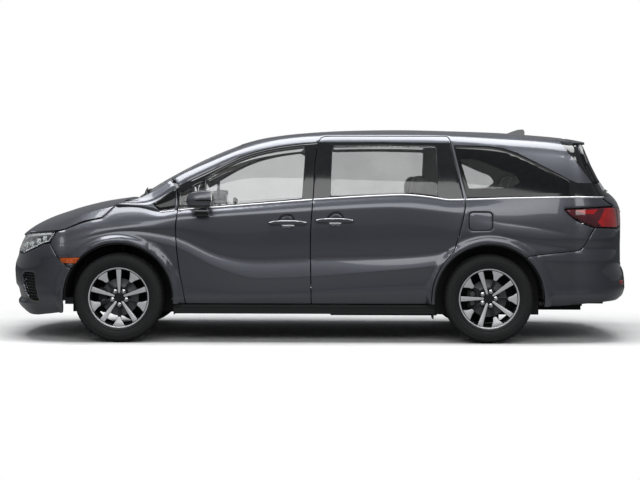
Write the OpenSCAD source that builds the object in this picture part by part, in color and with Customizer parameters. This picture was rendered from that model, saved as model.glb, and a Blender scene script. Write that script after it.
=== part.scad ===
// Seven-seat minivan, full size, in millimetres.
// The front of the van points to -X and the ground is at Z = 0.
// The body is drawn as a lines plan: nine lines run along each flank and every panel follows them.

/* [Main sizes] */
// Front axle to rear axle
wheelbase = 3000; // [2800:10:3200]
// Front axle to the tip of the nose
front_overhang = 987; // [900:1:1050]
// Rear axle to the back of the rear bumper
rear_overhang = 1226; // [1150:1:1300]
// Width over the wheel flares
body_w = 1994; // [1900:2:2100]
// Height of the roof at its highest point
roof_h = 1757; // [1700:1:1850]

/* [Wheels] */
// Radius of the tyre as it stands loaded
tyre_r = 362; // [345:1:375]
// Width of the tyre
tyre_w = 235; // [215:5:255]
// Distance between the middles of two wheels on an axle
track = 1710; // [1680:2:1730]
// Radius of the wheel over its flange
rim_r = 248; // [235:1:260]
// Number of long spokes in a wheel
spokes = 5; // [5:1:6]
// Room between the tyre and the lip of the wheel arch
arch_gap = 81; // [70:1:100]
// Width of the raised flare round a wheel arch
flare_w = 62; // [40:1:80]

/* [Walls] */
// Thickness of a door below its window
door_t = 74; // [50:1:90]
// Thickness of a door round its window
frame_t = 36; // [25:1:45]
// Thickness of the body side
side_t = 58; // [45:1:65]
// Thickness of a front fender
fender_t = 4; // [3:0.5:6]
// Thickness of the hood, tailgate and roof panels
panel_t = 34; // [25:1:45]
// Thickness of the bumper covers
cover_t = 26; // [12:1:30]
// Thickness of the window glass
glass_t = 5; // [4:0.5:8]

/* [Fits] */
// Gap between two body panels
gap = 7; // [5:0.5:8]
// Depth of the glass below the skin round it
glass_in = 6; // [3:1:12]
// Clearance of the moving pieces at their pins
pin_fit = 0.3; // [0.2:0.1:1]

/* [Hidden] */

// Colours
paint = "#74777f";
black = "#1b1c1e";
dark_glass = "#2b3033";
clear_glass = "#9fb0b4";
steel = "#8d9094";
iron = "#4b4c4f";
cloth = "#55585c";
alloy = "#c9ccd0";

// The lines plan is drawn for this wheelbase, width and height.
plan_base = 3000;
plan_w = 1994;
plan_h = 1757;
plan_front = -1620;
plan_rear = plan_front + plan_base;
rail_t = 46;
rail_drop = panel_t + 8;
floor_z = 300;
floor_t = 22;
rail_y = 470;
shelf_z = 1049.7;
dash_z = 1015;
fuel_over = 45;
door_pin = [-1020, 935];
door_pin_z = [500, 860];
hood_rear = -1605;
hood_pin = [-1540, 1122];
hood_pin_y = 646;
gate_pin = [2090, 1672];
gate_pin_y = 200;
pin_r = 6;
eye_r = 12;
eye_w = 14;
plate_x = 2545;
plate_z = 850;
plate_hole = [177.8, 120.65];
rail_w = 90;
well_y = 685;
hub_in = 35;
pad_z = 236;
subframe_z = 205;
strut_y = 655;
body_l = front_overhang + wheelbase + rear_overhang;
axle_f = front_overhang - body_l / 2;
axle_r = axle_f + wheelbase;
axle_z = tyre_r;
wheel_y = track / 2;
steer_y = wheel_y - 85;
// Where the rear bumper takes over the flare, and the front one
bumper_turn = 47;
fender_turn = 148;
arch_r = tyre_r + arch_gap;
far = 2 * body_w;

// A station of the lines plan moved to its place on the van
function sx(x) = x <= plan_front ? axle_f + x - plan_front
    : x <= plan_rear ? axle_f + (x - plan_front) * wheelbase / plan_base
    : axle_r + x - plan_rear;
function sy(y) = y * body_w / plan_w;
function sz(z) = z * roof_h / plan_h;
function place(p) = [sx(p[0]), sy(p[1]), sz(p[2])];
function shape(pts) = [for (p = pts) [sx(p[0]), sz(p[1])]];

// A smooth curve through the rows of a table, read at x from column k
function row_at(t, x, i = 0) = i >= len(t) - 2 || x < t[i + 1][0] ? i : row_at(t, x, i + 1);
function slope(t, i, k) = let (a = max(i - 1, 0), b = min(i + 1, len(t) - 1))
    (t[b][k] - t[a][k]) / (t[b][0] - t[a][0]);
function smooth(t, x, k = 1) =
    let (q = min(max(x, t[0][0]), t[len(t) - 1][0]), i = row_at(t, q),
        h = t[i + 1][0] - t[i][0], s = (q - t[i][0]) / h)
    (2 * s * s * s - 3 * s * s + 1) * t[i][k] + (s * s * s - 2 * s * s + s) * h * slope(t, i, k)
    + (3 * s * s - 2 * s * s * s) * t[i + 1][k] + (s * s * s - s * s) * h * slope(t, i + 1, k);

// The nine lines of the flank, from the sill up to the roof seam, as station, height, half width
foot = [[-2330, 235, 840], [-2080, 240, 900], [-1165, 248, 905], [900, 248, 905],
    [1850, 262, 890], [2300, 300, 830]];
sill = [[-2330, 372, 885], [-2080, 370, 945], [-1165, 365, 966], [-60, 395, 976], [890, 430, 976],
    [1400, 420, 978], [1853, 380, 962], [2300, 400, 890]];
low = [[-2330, 640, 890], [-2080, 690, 950], [-1620, 840, 968], [-1165, 775, 972],
    [-836, 615, 978], [-573, 530, 983], [-440, 521, 984], [-60, 538, 984], [356, 572, 983],
    [894, 622, 982], [1380, 690, 984], [1850, 660, 966], [2300, 640, 895]];
band = [[-2330, 730, 880], [-2080, 790, 936], [-1620, 900, 958], [-1165, 860, 958],
    [-836, 720, 960], [-573, 668, 961], [-60, 682, 961], [894, 715, 962], [1380, 850, 976],
    [1850, 800, 955], [2300, 760, 888]];
shoulder = [[-2330, 800, 842], [-2200, 855, 880], [-1900, 925, 925], [-1607, 955, 946],
    [-1358, 972, 955], [-1147, 992, 960], [-742, 1025, 963], [-47, 1066, 966], [418, 1090, 967],
    [651, 1093, 968], [931, 1066, 968], [1168, 1038, 968], [1409, 992, 968], [1720, 948, 958],
    [2082, 878, 932], [2300, 850, 885]];
belt = [[-2330, 865, 740], [-2209, 918, 764], [-2074, 982, 790], [-1918, 1040, 815],
    [-1757, 1082, 832], [-1641, 1102, 846], [-1450, 1092, 874], [-1296, 1056, 905],
    [-1150, 1070, 915], [-815, 1094, 920], [-39, 1156, 924], [420, 1186, 925], [681, 1196, 925],
    [800, 1190, 926], [962, 1170, 927], [1036, 1158, 927], [1191, 1160, 926], [1550, 1172, 920],
    [1933, 1181, 905], [2300, 1187, 850]];
top = [[-1500, 1130, 850], [-1365, 1140, 868], [-1149, 1262, 852], [-926, 1369, 828],
    [-632, 1512, 790], [-320, 1593, 762], [8, 1628, 750], [521, 1636, 748], [1078, 1622, 748],
    [1519, 1590, 742], [1950, 1558, 720], [2300, 1500, 680]];
rail = [[-1500, 1150, 820], [-1365, 1190, 825], [-1149, 1320, 806], [-926, 1428, 782],
    [-632, 1562, 744], [-320, 1650, 712], [8, 1686, 698], [521, 1691, 697], [1078, 1685, 696],
    [1519, 1658, 688], [1950, 1628, 664], [2300, 1570, 620]];
seam = [[-1500, 1160, 800], [-1395, 1202, 792], [-1150, 1338, 757], [-900, 1456, 715],
    [-580, 1604, 655], [-320, 1676, 640], [8, 1708, 628], [521, 1716, 625], [1078, 1709, 625],
    [1519, 1690, 615], [1950, 1662, 590], [2300, 1610, 550]];
lines = [foot, sill, low, band, shoulder, belt, top, rail, seam];
// How far the skin bulges outwards halfway between one line and the next
bulge = [6, -5, 2, 5, 9, 15, 9, 6, 0];
// Roof ridge and hood ridge
ridge = [[-2560, 820], [-2510, 868], [-2466, 901], [-2361, 968], [-2256, 1015], [-2151, 1051],
    [-2046, 1085], [-1941, 1113], [-1835, 1138], [-1730, 1156], [-1625, 1171], [-1520, 1192]];
crown = [[-800, 1580], [-678, 1624], [-573, 1656], [-468, 1681], [-363, 1698], [-258, 1712],
    [-153, 1723], [58, 1740], [268, 1750], [584, 1757], [794, 1757], [1110, 1750],
    [1425, 1741], [1600, 1733], [1846, 1715], [2056, 1697], [2161, 1682]];
// Nose and tail in side view on the centre line, as height and station
nose = [[188, -2470], [225, -2530], [272, -2578], [300, -2580], [335, -2556], [411, -2578],
    [445, -2598], [500, -2604], [566, -2607], [618, -2600], [684, -2574], [737, -2566],
    [800, -2540], [860, -2506], [900, -2472], [930, -2430]];
tail = [[255, 2300], [290, 2430], [330, 2540], [372, 2588], [430, 2606], [500, 2602],
    [566, 2592], [600, 2575], [640, 2562], [800, 2560], [1000, 2562], [1090, 2556],
    [1150, 2530], [1186, 2500], [1229, 2448], [1340, 2372], [1452, 2300], [1576, 2232],
    [1620, 2208], [1660, 2180], [1700, 2150]];
nose_end = -2060;
tail_end = 2080;
nose_power = 2.25;
tail_power = 2.8;

// Height and half width of the flank at a station, v counting the lines
function flank_z(x, v) = let (i = min(floor(v), len(lines) - 2), t = v - i)
    smooth(lines[i], x, 1) * (1 - t) + smooth(lines[i + 1], x, 1) * t;
function flank_y(x, v) = let (i = min(floor(v), len(lines) - 2), t = v - i)
    smooth(lines[i], x, 2) * (1 - t) + smooth(lines[i + 1], x, 2) * t + 4 * t * (1 - t) * bulge[i];
// The line count v at which the flank has a height, and the half width there
function flank_v(x, z, i = 0) = i >= len(lines) - 2 || z < smooth(lines[i + 1], x, 1)
    ? i + min(max((z - smooth(lines[i], x, 1))
        / (smooth(lines[i + 1], x, 1) - smooth(lines[i], x, 1)), 0), 1)
    : flank_v(x, z, i + 1);
function half_w(x, z) = flank_y(x, flank_v(x, z));

// Setback of the nose behind its tip at a half width y, and the hood height
function setback(y) = (nose_end - nose[8][1])
    * (1 - pow(max(1 - pow(abs(y) / 945, nose_power), 0), 1 / nose_power));
function hood_z(x, y) = let (e = smooth(belt, x, 2), s = abs(y) / e, edge = smooth(belt, x, 1))
    smooth(ridge, x - setback(y)) - (smooth(ridge, x - setback(e)) - edge) * s * s * s;
function roof_z(x, y) = let (e = smooth(seam, x, 2), edge = smooth(seam, x, 1), s = y / e)
    edge + (smooth(crown, x) - edge) * (1 - s * s);

// Points of the nose and tail at a height, turn 0 on the centre line and 90 on the flank
function sgn(a) = a < 0 ? -1 : 1;
function nose_pt(a, z, in = 0) = let (tip = lookup(z, nose) + in, w = half_w(nose_end, z) - in)
    place([nose_end - (nose_end - tip) * pow(abs(cos(a)), 2 / nose_power),
        sgn(a) * w * pow(abs(sin(a)), 2 / nose_power), z]);
function tail_pt(a, z, in = 0) = let (tip = lookup(z, tail) - in, w = half_w(tail_end, z) - in)
    place([tail_end + (tip - tail_end) * pow(abs(cos(a)), 2 / tail_power),
        sgn(a) * w * pow(abs(sin(a)), 2 / tail_power), z]);

// Evenly spaced values
function steps(a, b, n) = [for (i = [0:n]) a + (b - a) * i / n];

// A wall between two grids of points, the outer one seen with its rows going up
module wall(outer, inner) {
    r = len(outer);
    c = len(outer[0]);
    m = r * c;
    points = concat([for (q = outer) each q], [for (q = inner) each q]);
    skin = [for (i = [0:r - 2], j = [0:c - 2]) each
        let (a = i * c + j, b = a + 1, d = a + c, e = d + 1) [[a, d, e], [a, e, b]]];
    back = [for (f = skin) [f[2] + m, f[1] + m, f[0] + m]];
    ends = [for (i = [0:r - 2]) each let (a = i * c, d = a + c, b = a + c - 1, e = d + c - 1)
        [[a, a + m, d + m], [a, d + m, d], [b, e, e + m], [b, e + m, b + m]]];
    edges = [for (j = [0:c - 2]) each let (a = j, b = j + 1, d = m - c + j, e = d + 1)
        [[a, b, b + m], [a, b + m, a + m], [d, d + m, e + m], [d, e + m, e]]];
    polyhedron(points, concat(skin, back, ends, edges));
}

// A piece of the left flank: stations, line counts, depth of its face and thickness
module flank(xs, vs, t = side_t, in = 0, t_up = 0) {
    outer = [for (v = vs) [for (x = xs) place([x, in - flank_y(x, v), flank_z(x, v)])]];
    inner = [for (v = vs) [for (x = xs) place([x, in - flank_y(x, v), flank_z(x, v)])
        + [0, v > 4.9 && t_up > 0 ? t_up : t, -max(v - 7, 0) * rail_drop]]];
    wall(outer, inner);
}

// The same on the nose and the tail, with turns and heights
module nose_wall(as, zs, t = cover_t, in = 0) {
    n = len(as) - 1;
    wall([for (z = zs) [for (k = [0:n]) nose_pt(as[n - k], z, in)]],
        [for (z = zs) [for (k = [0:n]) nose_pt(as[n - k], z, in + t)]]);
}
module tail_wall(as, zs, t = cover_t, in = 0) {
    wall([for (z = zs) [for (a = as) tail_pt(a, z, in)]],
        [for (z = zs) [for (a = as) tail_pt(a, z, in + t)]]);
}

// A raised flare round a wheel arch on the left flank, between two angles
module flare(cx, a0, a1, n, t = fender_t) {
    lip = flare_w * 0.45;
    rs = [arch_r, arch_r + lip, arch_r + flare_w];
    proud = [body_w / 2 - 3, body_w / 2 - 3, 0];
    pts = [for (a = steps(a0, a1, n)) [for (k = [0:2])
        let (x = cx + rs[k] * cos(a), z = axle_z + rs[k] * sin(a), skin = sy(half_w(plan_x(x), plan_z(z))))
        [x, -max(proud[k], skin), z]]];
    wall(pts, [for (row = pts) [for (p = row) p + [0, t, 0]]]);
}
// Back from a place on the van to the lines plan
function plan_x(x) = x <= axle_f ? x - axle_f + plan_front
    : x <= axle_r ? plan_front + (x - axle_f) * plan_base / wheelbase : x - axle_r + plan_rear;
function plan_z(z) = z * plan_h / roof_h;

// An outline in side view carried across the left half, and one in end view carried along
module side_cut(pts, grow = 0) {
    rotate([90, 0, 0]) linear_extrude(far) offset(delta = grow) polygon(shape(pts));
}
module end_cut(pts, x0, x1) {
    translate([x0, 0, 0]) rotate([90, 0, 90]) linear_extrude(x1 - x0)
        polygon([for (p = pts) [sy(p[0]), sz(p[1])]]);
}
module arch_cut(cx, r) {
    translate([cx, 0, axle_z]) rotate([90, 0, 0]) cylinder(r = r, h = far, $fn = 48);
}
module both_sides() {
    children();
    mirror([0, 1, 0]) children();
}

// A hinge lies along Z here: a pin on the moving panel and an eye with its arm on the fixed one
module hinge_pin(h) { cylinder(r = pin_r, h = h, center = true, $fn = 32); }
module hinge_eye(arm) {
    difference() {
        union() {
            cylinder(r = eye_r, h = eye_w, center = true, $fn = 32);
            translate([0, -eye_r * 0.8, -eye_w / 2]) cube([arm, eye_r * 1.6, eye_w]);
        }
        cylinder(r = pin_r + pin_fit, h = eye_w + 1, center = true, $fn = 32);
    }
}

// Outlines in side view, as station and height
front_door_line = [[-1149, 1262], [-926, 1369], [-780, 1440], [-632, 1512], [-480, 1560],
    [-320, 1593], [-150, 1616], [-8, 1627], [-35, 1467], [-48, 1166], [-61, 1026], [-71, 838],
    [-66, 560], [-60, 316], [-1078, 316], [-1096, 418], [-1130, 588], [-1155, 817],
    [-1161, 934], [-1139, 1111]];
slide_door_line = [[-8, 1627], [14, 1668], [50, 1683], [1050, 1686], [1072, 1660], [1080, 1607],
    [1140, 1330], [1169, 1174], [1183, 1141], [1181, 1100], [1169, 1034], [1145, 930],
    [1099, 770], [1060, 710], [1018, 665], [975, 605], [940, 530], [916, 445], [908, 330],
    [906, 316], [-60, 316], [-66, 560], [-71, 838], [-61, 1026], [-48, 1166], [-35, 1467]];
front_glass_line = [[-925, 1330], [-780, 1413], [-632, 1484], [-480, 1533], [-320, 1566],
    [-112, 1592], [-138, 1172], [-470, 1142], [-815, 1112], [-930, 1106]];
door_light_line = [[-950, 1306], [-953, 1104], [-1110, 1093], [-1118, 1216]];
slide_glass_line = [[108, 1600], [540, 1608], [962, 1600], [958, 1190], [800, 1208], [681, 1214],
    [420, 1204], [92, 1190]];
quarter_glass_line = [[1104, 1594], [1383, 1588], [1500, 1572], [1610, 1535], [1729, 1478],
    [1938, 1366], [2040, 1314], [2030, 1196], [1550, 1188], [1203, 1178], [1150, 1400]];
quarter_light_line = [[-1352, 1122], [-1165, 1246], [-1154, 1112], [-1160, 1086], [-1296, 1070]];
fender_line = [[-2181, 803], [-2130, 893], [-2074, 908], [-1918, 973], [-1761, 1006],
    [-1655, 1114], [-1560, 1146], [-1500, 1260], [-1225, 1330], [-1207, 1245], [-1149, 1262],
    [-1139, 1111], [-1161, 934], [-1155, 817], [-1130, 588], [-1096, 418], [-1078, 316],
    [-1300, 316], [-1620, 600], [-2075, 640], [-2110, 682]];
hood_line = [[-2520, 866], [-2450, 876], [-2126, 905], [-2074, 916], [-1918, 981], [-1753, 1016],
    [-1645, 1124], [-1572, 1150], [-1572, 1400], [-2700, 1400], [-2700, 866]];
lamp_line = [[-2560, 700], [-2431, 702], [-2391, 721], [-2232, 795], [-2141, 880],
    [-2126, 898], [-2450, 870], [-2560, 862]];
// Top of the rear bumper, from the arch to below the lamp
rear_bumper_line = [[1400, 100], [1400, 520], [1700, 712], [2115, 757], [2143, 789],
    [2241, 942], [2243, 950], [2316, 933], [2455, 922], [2700, 922], [2700, 100]];
marker_line = [[-2098, 683], [-1921, 690], [-1960, 641], [-2081, 641]];
// the fuel door stands a set way over the wheel arch, which keeps its size
fuel_low = (axle_z + arch_r + flare_w + fuel_over) * plan_h / roof_h;
fuel_door_line = [for (p = [[1214, 0], [1399, 0], [1405, 6], [1405, 150], [1399, 156],
    [1214, 156], [1208, 150], [1208, 6]]) [p[0], p[1] + fuel_low]];

module gap_line(pts) { side_cut(pts, gap / 2); }

// Columns and rows of the flank's panels
front_xs = steps(-1175, 0, 9);
slide_xs = steps(-85, 1195, 10);
pillar_xs = steps(-1260, -320, 7);
rail_xs = steps(-320, 880, 7);
rear_xs = steps(880, 2080, 11);
roof_xs = concat([for (x = pillar_xs) if (x > -700) x], [for (k = [1:7]) rail_xs[k]],
    [for (k = [1:10]) rear_xs[k]], [2064]);
low_rows = [0.35, 1, 1.5, 2, 3, 3.5, 4, 4.5, 5];
up_rows = [5.4, 5.8, 6.2];

module front_door_skin() {
    difference() {
        intersection() {
            flank(front_xs, concat(low_rows, up_rows), door_t, 0, frame_t);
            side_cut(front_door_line, -gap / 2);
        }
        side_cut(front_glass_line);
        side_cut(door_light_line);
    }
}
module slide_door_skin() {
    difference() {
        intersection() {
            flank(slide_xs, concat(low_rows, [5.4, 5.8, 6.2, 6.6, 7.2]), door_t, 0, frame_t);
            side_cut(slide_door_line, -gap / 2);
        }
        side_cut(slide_glass_line);
    }
}
// The handle of a door, a bar held by two feet over a cup
module handle(x, z) {
    w = 300;
    y = half_w(x, z);
    translate([sx(x), -sy(y) - 20, sz(z)]) rotate([0, 0, 0]) {
        translate([-w * 0.26, 0, 0]) cube([w * 0.52, 12, 26], center = false);
        translate([-w * 0.26, 0, 0]) cube([22, 26, 26]);
        translate([w * 0.26 - 22, 0, 0]) cube([22, 26, 26]);
    }
}
module front_door() {
    color(paint) {
        difference() {
            front_door_skin();
            at_door_hinges() door_hinge_room();
        }
        at_door_hinges() hinge_pin(eye_w + 20);
        handle(-246, 938);
    }
}
// Room in the door for a hinge eye and its arm, open to the front and inwards
module at_door_hinges() {
    for (z = door_pin_z) translate([sx(door_pin[0]), -sy(door_pin[1]), sz(z)]) children();
}
module door_hinge_room() {
    h = eye_w + 12;
    translate([-170, -eye_r - 2, -h / 2]) cube([170 + eye_r + 3, 120, h]);
}
module slide_door() {
    color(paint) {
        slide_door_skin();
        handle(150, 965);
    }
}
module front_window() {
    color(clear_glass) intersection() {
        flank(steps(-1130, -95, 7), [5, 5.33, 5.67, 6.05], glass_t, glass_in);
        union() {
            side_cut(front_glass_line);
            side_cut(door_light_line);
        }
    }
}
module slide_window() {
    color(dark_glass) intersection() {
        flank(steps(80, 975, 5), [5, 5.33, 5.67, 6.05], glass_t, glass_in);
        side_cut(slide_glass_line);
    }
}
module quarter_window() {
    color(dark_glass) {
        intersection() {
            flank(steps(1090, 2060, 7), [5, 5.33, 5.67, 6.05], glass_t, glass_in);
            side_cut(quarter_glass_line);
        }
        intersection() {
            flank([-1360, -1250, -1150], [5, 5.5, 6], glass_t, glass_in);
            side_cut(quarter_light_line);
            side_cut(marker_line, 0.3);
        }
    }
}

// The left body side: sill, rail over the doors, rear quarter with its corner
module side_frame() {
    color(paint) {
        difference() {
            union() {
                // sill
                intersection() {
                    flank(steps(-1180, 960, 8), [0, 0.45], side_t);
                    side_cut([[-1170, 200], [-1170, 309], [940, 309], [940, 200]]);
                }
                // jacking pads
                for (x = [-1000, 800]) translate([sx(x) - 50, -sy(895), pad_z]) cube([100, 46, 30]);
                // roof rail and windscreen pillar
                flank(pillar_xs, [6, 6.5, 7, 7.5, 8], rail_t);
                flank(rail_xs, [6, 6.5, 7, 7.5, 8], rail_t);
                // rear quarter
                flank(rear_xs, [0, 0.5, 1, 1.5, 2, 3, 3.5, 4, 4.5, 5, 5.5, 6, 6.5, 7, 7.5, 8],
                    side_t, 0, rail_t);
                // rear corner
                tail_wall([-90, -80, -68, -56, -46], [610, 760, 900, 1000, 1100, 1187, 1300, 1400,
                    1500, 1570, 1620, 1655], side_t);
            }
            gap_line(front_door_line);
            gap_line(slide_door_line);
            gap_line(fender_line);
            side_cut(quarter_glass_line);
            arch_cut(axle_r, arch_r + flare_w);
            gap_line(rear_bumper_line);
            end_cut(tailgate_line_wide(), sx(1800), sx(2900));
            side_cut(tail_lamp_line);
            fuel_pocket();
        }
        difference() {
            flare(axle_r, bumper_turn + 1, 188, 12, side_t);
            gap_line(slide_door_line);
        }
        // hinge pillar before the front door, with the fixed eyes
        translate([sx(-1100), -sy(790), floor_z + floor_t + pin_fit])
            cube([100, 40, sz(1040) - floor_z - floor_t]);
        at_door_hinges() rotate([0, 0, 90]) hinge_eye(sy(door_pin[1]) - sy(790) + 2);
        // centre pillar behind the doors
        pillar = [[(floor_z + floor_t + pin_fit) * plan_h / roof_h, 862, 815],
            [1130, 842, 800], [1650, 686, 646]];
        wall([for (p = pillar) [for (x = [-70, 20]) place([x, -p[1], p[0]])]],
            [for (p = pillar) [for (x = [-70, 20]) place([x, -p[2], p[0]])]]);
    }
}
tailgate_top = 1618;
gate_side = [[640, tailgate_top], [668, 1560], [730, 1450], [789, 1304], [822, 1205],
    [800, 1150], [722, 1112], [706, 1000], [700, 900], [668, 740], [620, 622]];
tailgate_line = concat([for (p = gate_side) [-p[0], p[1]]],
    [for (k = [1:len(gate_side)]) gate_side[len(gate_side) - k]]);
function tailgate_line_wide() = [for (p = tailgate_line) [p[0] + sgn(p[0]) * gap,
    p[1] > 1600 ? 1800 : p[1] - (p[1] < 630 ? 30 : 0)]];
tail_lamp_line = [[1987, 1090], [2406, 1110], [2700, 1112], [2700, 925], [2455, 925],
    [2316, 936], [2152, 973], [2054, 1022]];
module fuel_pocket() {
    intersection() {
        side_cut(fuel_door_line, gap / 2);
        translate([sx(1100), -sy(1000), sz(fuel_low) - 60]) cube([400, sy(80), 400]);
    }
}

// The floor with its sills, rails, bulkhead and front cross member
module floor_pan() {
    color(iron) {
        difference() {
            union() {
                translate([sx(-1150), -sy(845), floor_z])
                    cube([sx(2150) - sx(-1150), 2 * sy(845), floor_t]);
                translate([sx(2150), -600, floor_z]) cube([sx(2370) - sx(2150), 1200, floor_t]);
            }
            both_sides() translate([axle_r, -well_y, axle_z]) rotate([90, 0, 0])
                cylinder(r = arch_r, h = 400, $fn = 48);
        }
        both_sides() {
            translate([sx(-2330), -rail_y - rail_w / 2, floor_z + 30])
                cube([sx(-1150) - sx(-2330), rail_w, 120]);
            translate([sx(-1150), -rail_y - rail_w / 2, floor_z - 60])
                cube([sx(2200) - sx(-1150), rail_w, 60]);
        }
        translate([sx(-1180), -sy(760), floor_z]) cube([30, 2 * sy(760), sz(dash_z) - floor_z]);
        // the shelf under the cowl, stepped down before the bulkhead
        translate([sx(-1290), -sy(700), sz(dash_z) - 30])
            cube([sx(-1150) - sx(-1290), 2 * sy(700), 30]);
        translate([sx(-1290), -sy(700), sz(dash_z) - 30])
            cube([30, 2 * sy(700), sz(shelf_z) - sz(dash_z) + 30]);
        translate([sx(-1560), -sy(700), sz(shelf_z) - 30])
            cube([sx(-1262) - sx(-1560), 2 * sy(700), 30]);
        // hood stops on the front rails
        both_sides() translate([sx(-2200), -rail_y, floor_z + 150])
            cylinder(r = 14, h = sz(hood_z(-2200, rail_y)) - panel_t - 8.4 - floor_z - 150, $fn = 24);
        translate([sx(-2360), -rail_y - rail_w / 2, floor_z]) cube([50, 2 * rail_y + rail_w, 160]);
    }
}

// A point of the roof, s from -1 to 1 across it, d below its skin
function roof_pt(x, s, d = 0) = let (e = smooth(seam, x, 2))
    place([x, s * e, roof_z(x, s * e)]) - [0, s * (1 + d * rail_t / rail_drop), d * (1 - 0.2 * (1 - s * s))];
module at_gate_hinge() {
    translate([sx(gate_pin[0]), -gate_pin_y, sz(gate_pin[1])]) rotate([90, 0, 0]) children();
}
module roof_panel() {
    ss = steps(-1, 1, 10);
    // the front edge is bowed with the windscreen
    function bow(x, s) = x < -500 ? roof_xs[1] - 80 * (1 - s * s) : x;
    xs = [for (k = [1:len(roof_xs) - 1]) roof_xs[k]];
    color(paint) {
        wall([for (s = ss) [for (x = xs) roof_pt(bow(x, s), s)]],
            [for (s = ss) [for (x = xs) roof_pt(bow(x, s), s, rail_drop)]]);
        // fixed eyes of the tailgate's hinges
        both_sides() at_gate_hinge() rotate([0, 0, 180]) hinge_eye(sx(gate_pin[0]) - sx(2058));
        // aerial
        translate([sx(1620), 0, sz(1732)]) rotate([90, 0, 0]) translate([0, 0, -16])
            linear_extrude(32) polygon([[0, -6], [180, -16], [180, 30], [150, 40], [100, 34]]);
    }
}

module hood_skin() {
    n = 10;
    us = concat([-1.5, -1.25], steps(-1, 1, n), [1.25, 1.5]);
    ts = steps(0, 1, 9);
    function hp(u, t, d) = let (
        k = min(abs(u), 1), front = -2535 + setback(k * 752), x = front + (hood_rear - front) * t,
        e = smooth(belt, x, 2), v = 5 - (abs(u) - k) * 1.3)
        abs(u) > 1 ? place([x, sgn(u) * (flank_y(x, v) - d), flank_z(x, v) - d * 0.3])
            : place([x, u * e, hood_z(x, u * e) - d]);
    wall([for (u = us) [for (t = ts) hp(u, t, 0)]], [for (u = us) [for (t = ts) hp(u, t, panel_t)]]);
}
module at_hood_hinge() {
    translate([sx(hood_pin[0]), -hood_pin_y, sz(hood_pin[1])]) rotate([90, 0, 0]) children();
}
module hood() {
    color(paint) {
        intersection() {
            hood_skin();
            translate([0, far / 2, 0]) side_cut(hood_line);
        }
        // hinge lugs under the rear edge
        both_sides() at_hood_hinge() {
            translate([0, 0, eye_w / 2 + 5]) linear_extrude(8) polygon([[-112, 8], [-60, 13],
                [6, 12], [12, 0], [4, -12], [-40, -14], [-90, -8]]);
            translate([0, 0, 6]) hinge_pin(eye_w + 12);
        }
    }
}

module front_fender() {
    color(paint) {
        difference() {
            intersection() {
                flank(concat(steps(-2250, -1165, 9), [-1075]), [0, 1, 2, 3, 3.5, 4, 4.33, 4.67, 5, 5.5, 6, 7, 8],
                    fender_t);
                side_cut(fender_line, -gap / 2);
            }
            arch_cut(axle_f, arch_r + flare_w);
            side_cut(quarter_light_line);
            side_cut(marker_line, 0.3);
        }
        difference() {
            flare(axle_f, -4, fender_turn - 0.5, 12, fender_t);
            side_cut(marker_line, 0.3);
        }
    }
}

upper_grille = [[-470, 838], [-494, 770], [-450, 690], [-360, 640], [360, 640], [450, 690],
    [494, 770], [470, 838]];
lower_grille = [[-520, 420], [-470, 320], [470, 320], [520, 420], [420, 440], [-420, 440]];
corner_vent = [[-850, 575], [-905, 300], [-800, 320], [-700, 400], [-690, 520]];

module front_bumper() {
    color(paint) {
        difference() {
            nose_wall(steps(-90, 90, 22), [188, 225, 272, 300, 335, 411, 445, 500, 566,
                618, 684, 737, 800, 860]);
            both_sides() arch_cut(axle_f, arch_r + flare_w);
            end_cut(upper_grille, sx(-2700), sx(-2300));
            end_cut(lower_grille, sx(-2700), sx(-2300));
            both_sides() end_cut(corner_vent, sx(-2700), sx(-2250));
            both_sides() gap_cut_lamp();
            both_sides() gap_line(fender_line);
            both_sides() side_cut(marker_line, 0.3);
        }
        both_sides() flare(axle_f, fender_turn + 0.5, 188, 4, cover_t);
    }
}
module gap_cut_lamp() {
    intersection() {
        side_cut(lamp_line, 0.3);
        translate([sx(-2700), -sy(1000), 0]) cube([900, sy(500), 1500]);
    }
}
module radiator() {
    translate([sx(-2360) - 50.3, -sy(430), floor_z + 20]) cube([50, 2 * sy(430), sz(480)]);
}
module front_grille() {
    color(black) {
        radiator();
        for (z = steps(655, 820, 6))
            intersection() {
                nose_wall(steps(-44, 44, 8), [z, z + 12], 40, 12);
                end_cut(upper_grille, sx(-2700), sx(-2300));
            }
        for (z = steps(335, 420, 3))
            intersection() {
                nose_wall(steps(-44, 44, 8), [z, z + 10], 40, 12);
                end_cut(lower_grille, sx(-2700), sx(-2300));
            }
    }
}
module headlamp() {
    color(clear_glass) intersection() {
        nose_wall(steps(-86, -34, 7), [690, 737, 800, 860, 905], 60, 2);
        side_cut(lamp_line);
        translate([sx(-2700), -sy(1000), 0]) cube([900, sy(500) - 0.3, 1500]);
    }
}
module side_marker() {
    q = [for (p = marker_line) place([p[0], -(936 + (p[0] + 2098) * 0.28), p[1]])];
    outer = [[q[3], q[2]], [q[0], q[1]]];
    color("#c96a1c") wall(outer, [for (r = outer) [for (p = r) p + [0, 12, 0]]]);
}
module front_lamp() {
    headlamp();
    side_marker();
}
module side_window() {
    slide_window();
    quarter_window();
}

// The windscreen, ruled between its lower and upper edges and bulged
function screen_pt(u, t, d = 0) = place([
    (-1548 + 152 * u * u) * (1 - t) + (-684 + 88 * u * u) * t + d * 0.4,
    (792 * (1 - t) + 652 * t) * u,
    (1180 - 14 * u * u) * (1 - t) + (1621 - 25 * u * u) * t + 128 * t * (1 - t) - d]);
module windshield() {
    color(clear_glass)
        wall([for (u = steps(-0.97, 0.97, 8)) [for (t = steps(0, 1, 7)) screen_pt(u, t)]],
            [for (u = steps(-0.97, 0.97, 8)) [for (t = steps(0, 1, 7)) screen_pt(u, t, glass_t)]]);
}
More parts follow.
